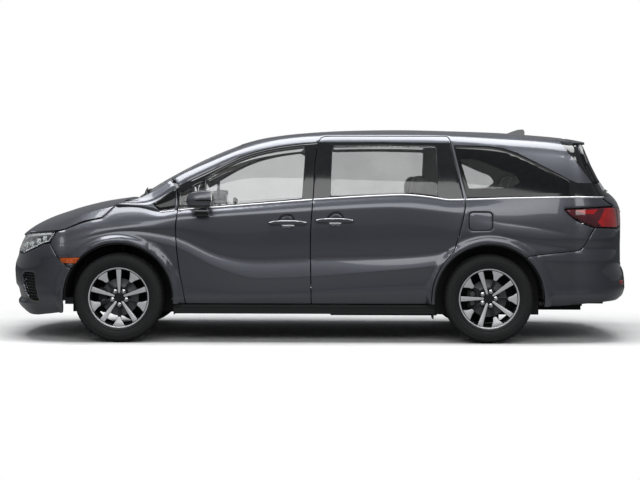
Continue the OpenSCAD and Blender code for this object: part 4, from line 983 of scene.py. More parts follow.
def plate(name, outline, low, high, finishes, bevel=0.0, segments=2):
    """An outline in millimetres as a plate between two heights."""
    ob = drawn(name, [(x * MM, y * MM, low * MM) for x, y in outline], (),
               [list(range(len(outline)))], finishes)
    bpy.ops.mesh.extrude_region_move(TRANSFORM_OT_translate={"value": (0, 0, (high - low) * MM)})
    return done(ob, 32, bevel, segments)


def block(name, centre, size, finishes, bevel=3.0, segments=3):
    """A bevelled box; sizes in millimetres."""
    bpy.ops.mesh.primitive_cube_add(size=1)
    ob = bpy.context.object
    ob.name = ob.data.name = name
    for item in finishes:
        ob.data.materials.append(item)
    bpy.ops.object.mode_set(mode="EDIT")
    bpy.ops.mesh.select_all(action="SELECT")
    bpy.ops.transform.resize(value=[v * MM for v in size])
    bpy.ops.transform.translate(value=[v * MM for v in centre])
    return done(ob, 32, bevel, segments)


def joined(name, parts):
    """Several meshes as one piece."""
    for other in bpy.context.selected_objects:
        other.select_set(False)
    for part in parts:
        part.select_set(True)
    bpy.context.view_layer.objects.active = parts[0]
    if len(parts) > 1:
        bpy.ops.object.join()
    parts[0].name = parts[0].data.name = name
    return parts[0]


def recolour(ob, test, finish_item):
    """Give the faces that pass a test another finish."""
    slots = [m.name for m in ob.data.materials]
    if finish_item.name not in slots:
        ob.data.materials.append(finish_item)
        slots.append(finish_item.name)
    k = slots.index(finish_item.name)
    for face in ob.data.polygons:
        if test(face.center / MM, face.normal):
            face.material_index = k
    return ob


def move(x, y, z):
    """A shift by millimetres."""
    return Matrix.Translation((x * MM, y * MM, z * MM))


def turn(degrees, axis):
    return Matrix.Rotation(math.radians(degrees), 4, axis)


def cut_across(ob, *stations):
    """Cuts across the length, so that the mesh can bend there."""
    edit(ob)
    for cut in stations:
        bpy.ops.mesh.select_all(action="SELECT")
        bpy.ops.mesh.bisect(plane_co=(cut * MM, 0, 0), plane_no=(1, 0, 0))
    bpy.ops.object.mode_set(mode="OBJECT")


mirror_y = Matrix.Scale(-1, 4, (0, 1, 0))


def copied(ob, name, matrix, flip=False):
    """A copy with its own mesh, moved by a matrix."""
    twin = ob.copy()
    twin.data = ob.data.copy()
    twin.name = twin.data.name = name
    bpy.context.collection.objects.link(twin)
    twin.data.transform(matrix)
    if flip:
        twin.data.flip_normals()
    return twin


# %% [markdown]
# The wheel has five long spokes that narrow to the hub and five short wedges at the rim, each on
# a thin dark arm. Faces are diamond-turned, flanks are painted black. Behind it sit the brake disc
# and its caliper. The nuts are domed and there is a plain cap over the hub.

# %% Wheels
def dish(x, y):
    """Height of the wheel's face over its middle plane."""
    r = math.hypot(x, y)
    return 58 + 27 * min(r / 225, 1) ** 1.6


def spoke_like(name, outline, thick):
    """A spoke: an outline extruded, bevelled, and bent to the dish of the face."""
    ob = plate(name, outline, -thick, 0, [dark_alloy], 2.0, 2)
    cut_across(ob, 80, 110, 140, 170, 200)
    for v in ob.data.vertices:
        v.co.z += dish(v.co.x / MM, v.co.y / MM) * MM
    return recolour(ob, lambda c, n: n.z > 0.86, turned_alloy)


spoke = spoke_like("spoke", [(38, -5), (46, -9), (235, -22), (238, 0), (235, 22), (46, 9),
                             (38, 5)], 22)
wedge = spoke_like("wedge", [(158, -14), (188, -25), (232, -54), (239, -34), (233, -30), (233, 30),
                             (239, 34), (232, 54), (188, 25), (158, 14), (152, 0)], 24)
arm = plate("arm", [(40, -13), (170, -12), (170, 12), (40, 13)], 30, 54, [dark_alloy], 3)
hub = lathe("hub", [(0, 20), (78, 20), (78, 40), (70, 52), (40, 55), (38, 60), (34, 63), (0, 63)],
            [dark_alloy], 48, False)
nut = lathe("nut", [(0, 40), (17, 40), (17, 54), (12, 56), (12, 66), (9, 71), (4, 73), (0, 73)],
            [chrome], 24, False)
parts = [hub]
for k in range(5):
    half = turn(72 * k + 36, "Z")
    parts += [copied(spoke, "s", turn(72 * k, "Z")), copied(wedge, "w", half),
              copied(arm, "a", half), copied(nut, "n", half @ move(59, 0, 0))]
for item in (spoke, wedge, arm, nut):
    bpy.data.objects.remove(item)
rim = lathe("rim", [(245.5, 88), (245.5, 93.5), (240, 93.5), (235, 90), (229, 84), (221, 66),
                    (215, 40), (213, -60), (224, -86), (240, -93), (245.5, -93), (245.5, -88),
                    (236, -82), (222, -60), (222, 30), (234, 72)], [dark_alloy], 120)
recolour(rim, lambda c, n: c.z > 91 and n.z > 0.1, turned_alloy)
wheel = joined("wheel", parts + [rim])
print("wheel", len(wheel.data.polygons), "faces")


def stand(ob, name, axle, angle, right):
    """A wheel part turned round its axis and stood on its axle."""
    m = move(axle + SHIFT, -WHEEL_Y, AXLE_Z) @ turn(90, "X") @ turn(angle, "Z")
    return copied(ob, name, mirror_y @ m if right else m, right)


# %% [markdown]
# The tyre is a spun section too. Its tread has four grooves all round, and the shoulder is cut
# into blocks. The cuts are made by pressing every sixth row of the shoulder inwards, and every
# ninth row of the ribs beside the outer grooves.

# %% Tyres
groove = lambda z: [(361.5, z - 5), (354, z - 3.5), (354, z + 3.5), (361.5, z + 5)]
outer = [(247.5, -95), (250, -101), (256, -106), (262, -110), (266, -107), (276, -113),
         (285, -115.4), (287, -113.6), (289, -115.8), (305, -117.4), (307, -115.6), (309, -117.4),
         (316, -116.5), (328, -114), (330, -115), (338, -112), (348, -105), (355, -97), (359, -88)]
tread = [p for z in (-58, -20, 20, 58) for p in groove(z)]
profile = (outer + [(360.5, -74)] + tread[:8] + [(362, -8), (362, 8)] + tread[8:] + [(360.5, 74)]
           + [(r, -z) for r, z in outer[::-1]] + [(247.5, 84), (300, 96), (346, 84), (350, 0),
                                                  (346, -84), (300, -96), (247.5, -84)])
tyre = lathe("tyre", profile, [tyre_rubber], 360)
for v in tyre.data.vertices:
    x, y, z = v.co / MM
    r, step = math.hypot(x, y), round(math.degrees(math.atan2(y, x)))
    cut = 0
    if abs(z) > 66 and r > 344 and step % 6 == 0:
        cut = 5 * min((r - 340) / 12, 1)
    elif 24 < abs(z) < 54 and r > 356 and (step + 3) % 9 == 0:
        cut = 4
    if cut:
        v.co.x *= 1 - cut / r
        v.co.y *= 1 - cut / r
print("tyre", len(tyre.data.polygons), "faces")

# %% Brakes
disc = lathe("disc", [(40, 14), (84, 14), (88, 4), (92, 2), (152, 2), (153, 0), (153, -22),
                      (152, -24), (88, -24), (80, -10), (40, -10)], [cast_iron], 96)
caliper = plate("caliper", [(-172, -64), (-160, -86), (-120, -72), (-96, -40), (-90, 0), (-96, 40),
                            (-120, 72), (-160, 86), (-172, 64), (-178, 0)], -46, 22,
                [black_steel], 8, 3)
piston = [lathe("piston", [(0, 18), (24, 18), (24, 27), (20, 30), (0, 30)], [cast_iron], 24, False)
          for _ in range(2)]
piston[0].data.transform(move(-128, 36, 0))
piston[1].data.transform(move(-128, -36, 0))
brake = joined("brake", [disc, caliper] + piston)
for corner, axle, angle, body in (("front", FRONT_AXLE, 90, "knuckle_%s"),
                                  ("rear", REAR_AXLE, 180, "root")):
    for side, right in (("left", False), ("right", True)):
        tag = "%s_%s" % (corner, side)
        rolling = "%s_wheel_%s" % (corner, side)
        dress(stand(wheel, "alloy_" + tag, axle, angle, right), rolling, "wheel_" + tag)
        dress(stand(tyre, "tread_" + tag, axle, 0, right), rolling, "tyre_" + tag)
        dress(stand(brake, "brake_" + tag, axle, 0, right), body.replace("%s", side))
for item in (wheel, tyre, brake):
    bpy.data.objects.remove(item)

# %% [markdown]
# Bright and black details sit on the skins. They follow the same surface, so each one is a
# section carried along a line of the plan. The belt strip runs from the fender to the tail in
# four lengths, one on each panel, so that the doors can open.

# %% Belt strips
def along(x0, x1, up, step=40):
    """Points of the flank along a height over the belt, with the direction outwards."""
    path = []
    for x in np.linspace(x0, x1, max(2, int(abs(x1 - x0) / step) + 1)):
        p = np.array([[x, ROLL[BELT_AT] + up]])
        here, ahead = flank(p)[0], flank(p + [[2.0, 0]])[0]
        t = ahead - here
        path.append((here, (t[1], -t[0], 0)))
    return path


strip = [(-3, -6), (2, -6), (5, -3), (6, 1), (4, 5), (1, 7), (-3, 7)]
for name, ends, body, flip in (
        ("belt_strip_fender", (-1290, -1166), "root", True),
        ("belt_strip_door_left", (-1140, -56), "front_door_left", False),
        ("belt_strip_door_right", (-1140, -56), "front_door_right", "right"),
        ("belt_strip_slide", (-44, 1176), "root", True),
        ("belt_strip_quarter", (1190, 2320), "root", True)):
    dress(sweep(name, strip, along(*ends, 5), [turned_alloy], mirror=flip), body)

# %% [markdown]
# The handle is a bar that tapers to both ends and stands off a cup in the skin. Its upper faces
# are chrome as a painted highlight, standing for the light that falls on the bar's top. A chrome
# strip runs along the top and a lower flat is bright. It is cut from one block: the ends are
# pinched, then every edge is bevelled.

# %% Door handles
def handle(name, x, z):
    out = -float(half_width(x, z)) - 26
    bar = block("bar", (0, 0, 0), (306, 22, 36), [paint], 0)
    cut_across(bar, -120, -60, 60, 120)
    for v in bar.data.vertices:
        u = abs(v.co.x) / 0.152
        v.co.z *= 1 - 0.55 * u ** 2
        v.co.z += 0.006 * (1 - u ** 2)
        v.co.y += 0.012 * u ** 2 - (0.004 if v.co.z > 0 else 0)
    edit(bar)
    done(bar, 40, 5, 3)
    # every face that looks upwards turns chrome: painted highlight for the light on the bar's top
    recolour(bar, lambda c, n: n.z > 0.25, chrome)
    foot = [block("foot", (s * 118, 18, 0), (34, 40, 16), [paint], 4) for s in (-1, 1)]
    bright = block("bright", (6, -6, -20), (100, 9, 14), [chrome], 4)
    edge = block("edge", (0, -9, 15), (236, 4, 6), [chrome], 1.8)
    whole = joined(name, [bar, bright, edge] + foot)
    whole.data.transform(move(x + SHIFT, out, z))
    return whole


for name, x, z, bodies in (("handle_front", -252, 971, ("front_door_left", "front_door_right")),
                           ("handle_slide", 124, 990, ("root", "root"))):
    left = handle(name + "_left", x, z)
    dress(copied(left, name + "_right", mirror_y, True), bodies[1])
    dress(left, bodies[0])

# %% [markdown]
# A door mirror starts as a cube with many faces, is drawn halfway to a sphere, and then cut flat
# behind for the glass. Its bottom is black. A black line along the side is painted shade in place
# of the groove between the two halves of the housing.

# %% Mirrors
bpy.ops.mesh.primitive_cube_add(size=2)
shell = bpy.context.object
shell.data.materials.append(paint)
bpy.ops.object.mode_set(mode="EDIT")
bpy.ops.mesh.select_all(action="SELECT")
bpy.ops.mesh.subdivide(number_cuts=11)
bpy.ops.transform.tosphere(value=0.52)
bpy.ops.transform.resize(value=(0.106, 0.096, 0.066))
bpy.ops.mesh.select_all(action="SELECT")
bpy.ops.mesh.bisect(plane_co=(0.078, 0, 0), plane_no=(1, 0, 0), clear_outer=True, use_fill=True)
bpy.ops.object.mode_set(mode="OBJECT")
for v in shell.data.vertices:
    x, y, z = v.co
    # the nose of the housing is a little lower and leans back
    v.co.z -= 0.010 * max(0, -x / 0.09) if z > 0 else 0
    v.co.x += 0.008 * max(0, z / 0.08)
edit(shell)
done(shell, 40)
# the black band along the outer side is painted shade standing for a groove, not a cut in the mesh
recolour(shell, lambda c, n: c.z < -42 or n.x > 0.95
         or (abs(c.z + 8) < 8 and c.y < -30 and c.x > -48), gloss_black)
glass = block("glass", (80, 4, 2), (4, 150, 96), [chrome], 1.5)
foot = block("foot", (2, 52, -112), (112, 124, 46), [gloss_black], 12)
brow = block("brow", (2, 20, -88), (108, 110, 13), [chrome], 5)
mirror = joined("mirror", [shell, glass, foot, brow])
mirror.data.transform(Matrix.Translation((-0.945 + SHIFT * MM, -1.030, 1.160)))
dress(copied(mirror, "door_mirror_right", mirror_y, True), "front_door_right", "mirror_right")
mirror.name = mirror.data.name = "door_mirror_left"
dress(mirror, "front_door_left", "mirror_left")

# %% [markdown]
# The roof fin, the spoiler and the wipers finish the upper body. The spoiler is a thin wing: a
# grid of points for its top, another for its underside, closed round the edge.

# %% Fin and spoiler
fin = plate("roof_fin", [(1600, 1722), (1680, 1752), (1730, 1769), (1778, 1772), (1790, 1752),
                         (1786, 1716)], -22, 22, [gloss_black], 0)
for v in fin.data.vertices:
    x, z = v.co.x, v.co.y
    wide = v.co.z * (1 - 0.8 * min(max((z - 1.72) / 0.05, 0), 1)) * min(1, (x - 1.594) / 0.12)
    v.co = (x + SHIFT * MM, wide, z)
edit(fin)
done(fin, 40, 4, 3)
dress(fin, "root")


def grid_sheet(name, top, under, nu, nt, finishes, dark=None):
    """A closed sheet from two functions of (u, t), u from -1 to 1 and t from 0 to 1."""
    grid = [(u, t) for u in np.linspace(-1, 1, nu) for t in np.linspace(0, 1, nt)]
    coords = np.array([top(u, t) for u, t in grid] + [under(u, t) for u, t in grid])
    coords[:, 0] += SHIFT
    n = nu * nt
    at = lambda a, b: a * nt + b
    faces, kinds = [], []
    for a in range(nu - 1):
        for b in range(nt - 1):
            quad = [at(a, b), at(a, b + 1), at(a + 1, b + 1), at(a + 1, b)]
            black = int(bool(dark and dark(grid[at(a, b)][0], grid[at(a, b)][1])))
            faces += [quad, [v + n for v in quad[::-1]]]
            kinds += [black, black]
    rim = ([at(a, 0) for a in range(nu)] + [at(nu - 1, b) for b in range(1, nt)]
           + [at(a, nt - 1) for a in range(nu - 2, -1, -1)]
           + [at(0, b) for b in range(nt - 2, 0, -1)])
    for p, q in zip(rim, rim[1:] + rim[:1]):
        faces.append([p, q, q + n, p + n])
        kinds.append(0)
    return outwards(make(name, coords * MM, faces, kinds, finishes))


WING_START, WING_TIP, WING_HALF, WING_TOP = 2094, 2262, 606, 1660


def wing(u, t):
    """The spoiler's top: it leaves the roof a little below it and ends in a flat arc."""
    y = u * WING_HALF
    tip = WING_TIP - 62 * u * u
    start = float(roof_height(np.array(float(WING_START)), np.array(y)))
    dip = 12 * max(0, 1 - 6 * t)
    return (WING_START + (tip - WING_START) * t, y,
            start - dip + (WING_TOP - 26 * u * u - start) * t ** 1.3)


def wing_under(u, t):
    x, y, z = wing(u, t)
    return (x, y, z - 12 - 26 * (1 - t) * (0.4 + 0.6 * t))


spoiler = grid_sheet("spoiler_wing", wing, wing_under, 41, 12, [gloss_black])
dress(spoiler, "tailgate", "roof_spoiler")
ears = weave("glass_ears", tail, shrunk(face_on_tail(dense(
    [(600, 1612), (655, 1560), (722, 1450), (780, 1310), (742, 1300), (690, 1430), (610, 1560),
     (560, 1606)], 16)), 1), (), 26, 20, 6, -22, finishes=[gloss_black, gloss_black], mirror=True)
dress(ears, "tailgate")

# %% Windscreen
def screen(u, t, down=0.0):
    """The windscreen: u across, t from the foot to the head, both ends curved in plan."""
    k = 0.985 * u
    (foot_x, foot_y, foot_z), (head_x, head_y, head_z) = SCREEN_FOOT, SCREEN_HEAD
    return ((foot_x + 152 * k * k) * (1 - t) + (head_x + 88 * k * k) * t + 0.4 * down,
            (foot_y * (1 - t) + head_y * t) * k,
            (foot_z - 14 * k * k) * (1 - t) + (head_z - 25 * k * k) * t + 128 * t * (1 - t) - down)


screen_glass = grid_sheet("windscreen", screen, lambda u, t: screen(u, t, 5), 65, 41,
                          [clear_glass, black_edge],
                          lambda u, t: abs(u) > 0.95 or t < 0.1 or t > 0.93
                          or (abs(u) < 0.13 and t > 0.82))
dress(screen_glass, "root", "windshield")
print("windscreen foot", [round(v) for v in screen(0, 0)])


# %% Wipers
def rod(name, points, radius, finishes):
    """A round rod through points: a circle extruded along them with a curve's bevel."""
    curve = bpy.data.curves.new(name, "CURVE")
    curve.dimensions, curve.bevel_depth, curve.bevel_resolution = "3D", radius * MM, 2
    curve.use_fill_caps = True
    line = curve.splines.new("POLY")
    line.points.add(len(points) - 1)
    for spot, p in zip(line.points, points):
        spot.co = (p[0] * MM, p[1] * MM, p[2] * MM, 1)
    ob = bpy.data.objects.new(name, curve)
    bpy.context.collection.objects.link(ob)
    only(ob)
    bpy.ops.object.convert(target="MESH")
    ob = bpy.context.object
    for item in finishes:
        ob.data.materials.append(item)
    edit(ob)
    return done(ob, 50)


parts = []
over_screen = lambda y, t, out: screen(y / SCREEN_FOOT[1], t, -out)
for y0, length in ((-560, 640), (120, 560)):
    parts.append(rod("blade", [over_screen(y, 0.075, 12) for y in np.linspace(y0, y0 + length, 8)],
                     6, [rubber_seal]))
    parts.append(rod("wiper_arm", [over_screen(y0 + length * 0.5, 0.09, 22),
                                   over_screen(y0 + 60, 0.06, 26),
                                   over_screen(y0 - 20, 0.025, 10)], 5, [gloss_black]))
dress(joined("front_wipers", parts), "root")
glass_point = lambda y, z, out: tail(face_on_tail([(y, z)]))[0] + [out, 0, out * 0.4]
parts = [rod("rear_arm", [glass_point(0.5, 1216, 26), glass_point(-80, 1225, 24),
                          glass_point(-230, 1240, 16)], 7, [gloss_black]),
         rod("rear_blade", [glass_point(y, 1236, 8) for y in range(-400, -70, 30)], 5,
             [rubber_seal])]
cap = lathe("cap", [(0, 0), (24, 0), (24, 14), (18, 22), (0, 22)], [gloss_black], 24, False)
cap.data.transform(move(*glass_point(0.5, 1216, 0)) @ turn(62, "Y"))
dress(joined("rear_wiper", parts + [cap]), "tailgate")

# %% [markdown]
# The lamps are real assemblies: a black bowl behind, bright parts inside and a clear cover flush
# with the body. Covers and bowls are woven like the panels; the bowl's face sinks away from its
# edge. An opal light guide runs along the lower edge and a chrome bar along the upper one.

# %% Head lamps
opal_guide = recipe("opal acrylic light guide", "#e9edf0", "#eef1f3", "#e2e6e9", 20,
                    Roughness=0.25, Coat_Weight=0.5)
reflector = recipe("aluminised reflector", "#cfd4d8", "#d6dadd", "#c3c8cc", 12, Metallic=1.0,
                   Roughness=0.18)


def bowl(deep, run):
    return lambda g: deep * (lambda t: t * t * (3 - 2 * t))(min(g / run, 1))


def on_nose(points, deep=0.0, up=0.0):
    """Side-view points of the left front corner in space, pushed inwards, with the way out."""
    path = []
    for q in side_on_nose(dense(points, 25, False)):
        here = nose(q[None])[0]
        du, dv = nose(q[None] + [[1.0, 0]])[0] - here, nose(q[None] + [[0, 1.0]])[0] - here
        n = -np.cross(du, dv)
        n /= np.linalg.norm(n)
        path.append((here - n * deep + [0, 0, up], (n[0], n[1], n[2] * 0.3)))
    return path


lamp_side = [(-2424, 712), (-2391, 727), (-2232, 801), (-2184, 809), (-2137, 888), (-2142, 897),
             (-2300, 885), (-2452, 872)]
lamp_face = face_on_nose([(-520, 862), (-500, 850), (-500, 716)])
lamp_loop = rounded(np.concatenate([side_on_nose(dense(lamp_side, 14, False)), lamp_face]),
                    8, 20, 3)
lamp_bowl = weave("headlamp_bowls", nose, shrunk(lamp_loop, 1), (), 3, 16, 0.5, 4,
                  finishes=[grained_black, grained_black], mirror=True, sink=bowl(62, 34))
dress(lamp_bowl, "root")
lamp_cover = weave("headlamp_covers", nose, shrunk(lamp_loop, 1), (), 3, 18, 1, 1,
                   finishes=[lens_clear, lens_clear], mirror=True)
dress(lamp_cover, "root", "front_lamps")
square = [(-4, -4), (4, -4), (4, 4), (-4, 4)]
flat_bar = [(-3, -9), (3, -9), (3, 9), (-3, 9)]
guides = [sweep("g", square, on_nose([(-2418, 730), (-2391, 742), (-2236, 812), (-2196, 820),
                                      (-2152, 886)], 9), [opal_guide], mirror=True),
          sweep("g", flat_bar, on_nose([(-2440, 856), (-2300, 872), (-2170, 884)], 12), [chrome],
                mirror=True)]
for x, z, wide in ((-2440, 786, 56), (-2370, 800, 56), (-2300, 826, 52), (-2238, 848, 40)):
    (spot, way), = on_nose([(x, z), (x + 0.1, z)], 34)[:1]
    eye = block("eye", (0, 0, 0), (34, wide, 44), [reflector], 5)
    pupil = lathe("pupil", [(0, 0), (17, 0), (17, 6), (10, 13), (0, 15)], [opal_guide], 24, False)
    pupil.data.transform(move(16, 0, 0) @ turn(90, "Y"))
    eye = joined("eye", [eye, pupil])
    eye.data.transform(move(*spot) @ Matrix.Rotation(math.atan2(way[1], way[0]), 4, "Z"))
    guides += [eye, copied(eye, "eye", mirror_y, True)]
dress(joined("headlamp_insides", guides), "root")
brow_line = [(-2140, 893), (-2300, 880), (-2452, 868), (-2500, 862)]
brow_path = on_nose(brow_line, 2, 4) + [
    (nose(q[None])[0] + [2, 0, 4], (-1, 0, 0)) for q in face_on_nose(
        [(-520, 862), (-400, 858), (-200, 856), (-0.5, 856)])]
brow = sweep("headlamp_brow", [(-16, -8), (3, -8), (5, -4), (3, 6), (-16, 8)], brow_path,
             [gloss_black], mirror=True)
bright = sweep("b", [(3, -2), (7, -2), (7, 2), (3, 2)], brow_path, [chrome], mirror=True)
dress(joined("front_brow", [brow, bright]), "root")

# %% Side markers and bumper vents
marker = weave("side_markers", flank, pattern(MARKER, on_flank, 1.0, 4), (), 10, 14, 2, 0,
               finishes=[lens_orange, lens_orange], mirror=True)
dress(marker, "root")


def net(name, loop, down, step_y, step_z, finishes, wire=3):
    """A mesh of rods behind an opening of the nose: the rows first, then the columns."""
    rods = []
    low, high = loop.min(0), loop.max(0)
    for axis, step in ((1, step_z), (0, step_y)):
        for level in np.arange(low[axis] + step / 2, high[axis], step):
            run = np.arange(low[1 - axis], high[1 - axis] + 20, 20)
            line = np.stack([run, np.full(len(run), level)], 1)
            line = line if axis else line[:, ::-1]
            line = line[inside(line, loop)]
            if len(line) > 2:
                rods.append([nose(q[None])[0] + [down, 0, 0] for q in line])
    return joined(name, [rod("r", points, wire, finishes) for points in rods])


for name, outline in (("upper", UPPER_GRILLE), ("lower", LOWER_GRILLE), ("vent", VENT)):
    hole = pattern(outline, face_on_nose, -6, 16)
    back = weave("back_panel_" + name, nose, hole, (), 4, 30, 0.5, 74 if name != "vent" else 46,
                 finishes=[grained_black, grained_black], mirror=name == "vent")
    dress(back, "root")
vent_loop = pattern(VENT, face_on_nose, -4, 16)
vent_net = net("vent_net", vent_loop, 24, 34, 24, [gloss_black])
twin = copied(vent_net, "v", mirror_y, True)
dress(joined("vent_nets", [vent_net, twin]), "root")
dress(net("lower_net", pattern(LOWER_GRILLE, face_on_nose, -2, 16), 24, 46, 26, [gloss_black]),
      "root")
lip = sweep("vent_lips", [(-14, -9), (4, -9), (7, -2), (3, 7), (-14, 9)],
            [(nose(q[None])[0] + [4, 0, 0], (-0.8, -0.6, 0)) for q in face_on_nose(
                [(-876, 326), (-850, 322), (-806, 324), (-756, 350)])], [bare_steel], mirror=True)
dress(lip, "root")

# %% [markdown]
# The tail lamps wrap round the corner. Their cover is smoked, with a bright patch and a bright
# upright at the rear. Smaller twins sit in the tailgate.

# %% Tail lamps
side_low = side_on_tail(dense([(2240, 946), (2152, 977), (2054, 1027), (1992, 1087), (2200, 1099),
                               (2340, 1106)], 14, False))
gate_side = face_on_tail(dense([(-724, 1107), (-712, 1020), (-704, 937)], 14, False))
tail_loop = rounded(np.concatenate([side_low, gate_side]), 10, 20, 3)
patch = side_on_tail(dense([(2075, 1078), (2262, 1090), (2228, 1052), (2160, 1056)], 12))
upright = np.concatenate([side_on_tail([(2330, 1100), (2262, 985), (2300, 950)]),
                          face_on_tail([(-730, 942), (-740, 1098)])])
tail_cover = weave("tail_lamp_covers", tail, shrunk(tail_loop, 1.5), (), 26, 16, 5, 0,
                   zones=[patch, upright], finishes=[lens_smoked, lens_red, lens_red, gloss_black],
                   mirror=True)
dress(tail_cover, "root", "tail_lamps")
inner = weave("gate_lamp_covers", tail, pattern(INNER_LAMP, face_on_tail, 1, 12), (), 26, 20, 5, 0,
              zones=[face_on_tail([(-690, 1085), (-600, 1078), (-600, 960), (-690, 950)])],
              finishes=[lens_smoked, lens_red, gloss_black], mirror=True)
dress(inner, "tailgate", "tailgate_lamps")
gate_bar = sweep("gate_strip", [(-10, -9), (4, -9), (8, 0), (4, 9), (-10, 9)],
                 [(tail(q[None])[0], (1, 0, 0)) for q in face_on_tail(dense(
                     [(-418, 1064), (418, 1064)], 30, False))], [chrome])
dress(gate_bar, "tailgate")
tray = block("plate_tray", (2549, 0, 850), (26, 336, 176), [grained_black], 0)
for face in tray.data.polygons:
    face.select = face.normal.x > 0.9
only(tray)
bpy.ops.object.mode_set(mode="EDIT")
bpy.ops.mesh.select_mode(type="FACE")
bpy.ops.mesh.inset(thickness=0.005)
bpy.ops.mesh.extrude_region_move(TRANSFORM_OT_translate={"value": (-0.016, 0, 0)})
done(tray)
HOLES_WIDE, HOLES_HIGH = 177.8, 120.65
screws = [lathe("screw", [(0, 0), (6, 0), (6, 3), (4, 5), (0, 5)], [bare_steel], 20, False)
          for _ in range(4)]
for k, screw in enumerate(screws):
    screw.data.transform(move(2546, (k % 2 - 0.5) * HOLES_WIDE, 850 + (k // 2 - 0.5) * HOLES_HIGH)
                         @ turn(90, "Y"))
dress(joined("plate_recess", [tray] + screws), "tailgate")
reflect = weave("rear_reflectors", tail, face_on_tail(rounded(
    [(-730, 470), (-630, 470), (-630, 500), (-730, 500)], 8)), (), 12, 20, 2, -3,
    finishes=[lens_red, lens_red], mirror=True)
dress(reflect, "root")

# %% [markdown]
# Inside each wheel arch a dark panel closes the view to the other side, as the wheelhouse does.
# Below the axle the panel is painted shade: it reaches down to 215 mm, a black sheet where under
# the van there is only shadow.
# Small flaps hang behind the front wheels and ahead of the rear ones.

# %% Wheelhouses, with painted shade below the axle, and flaps
houses = []
# the walls reach down to 215 mm: below the axle they are black sheets of painted shade
for axle, y, low in ((FRONT_AXLE, 532, 215), (REAR_AXLE, 700, 215)):
    r = ARCH_R - 6
    wall = plate("wall", arc(axle, 0, 180, 40, r) + [(axle - r, low), (axle + r, low)], y, y + 6,
                 [grained_black])
    wall.data.transform(move(SHIFT, 0, 0) @ turn(90, "X"))
    houses += [wall, copied(wall, "wall", mirror_y, True)]
for s in (-1, 1):
    houses.append(block("flap", (928, s * 868, 240), (10, 150, 84), [grained_black], 3))
    houses.append(block("flap", (-1172, s * 868, 262), (10, 130, 70), [grained_black], 3))
dress(joined("wheelhouse_and_shade_panels", houses), "root")

# %% [markdown]
# Under the hood there is a ribbed engine cover, the battery, the air box, the fuse box, a washer
# tank and the strut tops. Behind the fuel door sits a pocket with the filler cap.

# %% Engine bay and filler
bay = [block("cover", (-1850, 0, 926), (420, 560, 40), [gloss_black], 16, 4),
       block("battery", (-1900, 520, 842), (260, 180, 190), [grained_black], 8),
       block("lid", (-1900, 520, 944), (266, 186, 14), [soft_trim], 5),
       block("fuses", (-1670, 530, 868), (180, 140, 110), [grained_black], 10),
       block("air_box", (-1900, -520, 856), (290, 190, 160), [grained_black], 18, 4),
       block("washer", (-1670, -530, 880), (130, 120, 90), [opal_guide], 16, 4),
       block("slam_panel", (-2240, 0, 848), (110, 1040, 14), [grained_black], 5),
       rod("duct", [(-1990, -500, 880), (-2090, -420, 890), (-2150, -320, 888)], 38,
           [grained_black])]
bay += [block("rib", (-1850, y, 948), (370, 16, 10), [gloss_black], 4)
        for y in range(-220, 221, 110)]
for y in (-600, 600):
    tower = lathe("tower", [(0, 0), (92, 0), (84, 40), (58, 48), (24, 50), (20, 62), (0, 62)],
                  [black_steel], 40, False)
    tower.data.transform(move(FRONT_AXLE, y, 872))
    bay.append(tower)
dress(joined("engine_bay", bay), "root")
cap = lathe("filler_cap", [(0, 0), (34, 0), (34, 14), (29, 20), (10, 20), (8, 26), (0, 26)],
            [gloss_black], 40, False)
cap.data.transform(move(1306, -893, 990) @ turn(90, "X"))
pocket = block("pocket", (1306, -888, 990), (206, 10, 166), [grained_black], 2)
dress(joined("fuel_filler", [pocket, cap]), "root")

# %% [markdown]
# There are two seats in front, two in the middle, and a third row in two parts. Each has a base
# cushion, a back and a head rest. A pad starts as a bevelled block a little smaller than the
# finished pad, is remeshed and blown up by the cloth solver without gravity, with a cap on how
# far it may swell. Sewn channels are pressed in afterwards. One pad of each kind is simulated,
# and its copies are set in their places.

# %% Padded seats
seam_leather = recipe("perforated leather seat centre", "#333335", "#3c3c3e", "#29292b", 3,
                      (0.6, 0.6), Roughness=0.6)


# the pad's crown, how far its sides pull in, and the depth and half width of a sewn channel
PAD_CROWN, PAD_WAIST, SEAM_DEEP, SEAM_HALF = 0.010, 0.007, 0.008, 9 * MM


def applied(ob, name):
    only(ob)
    bpy.ops.object.modifier_apply(modifier=name)


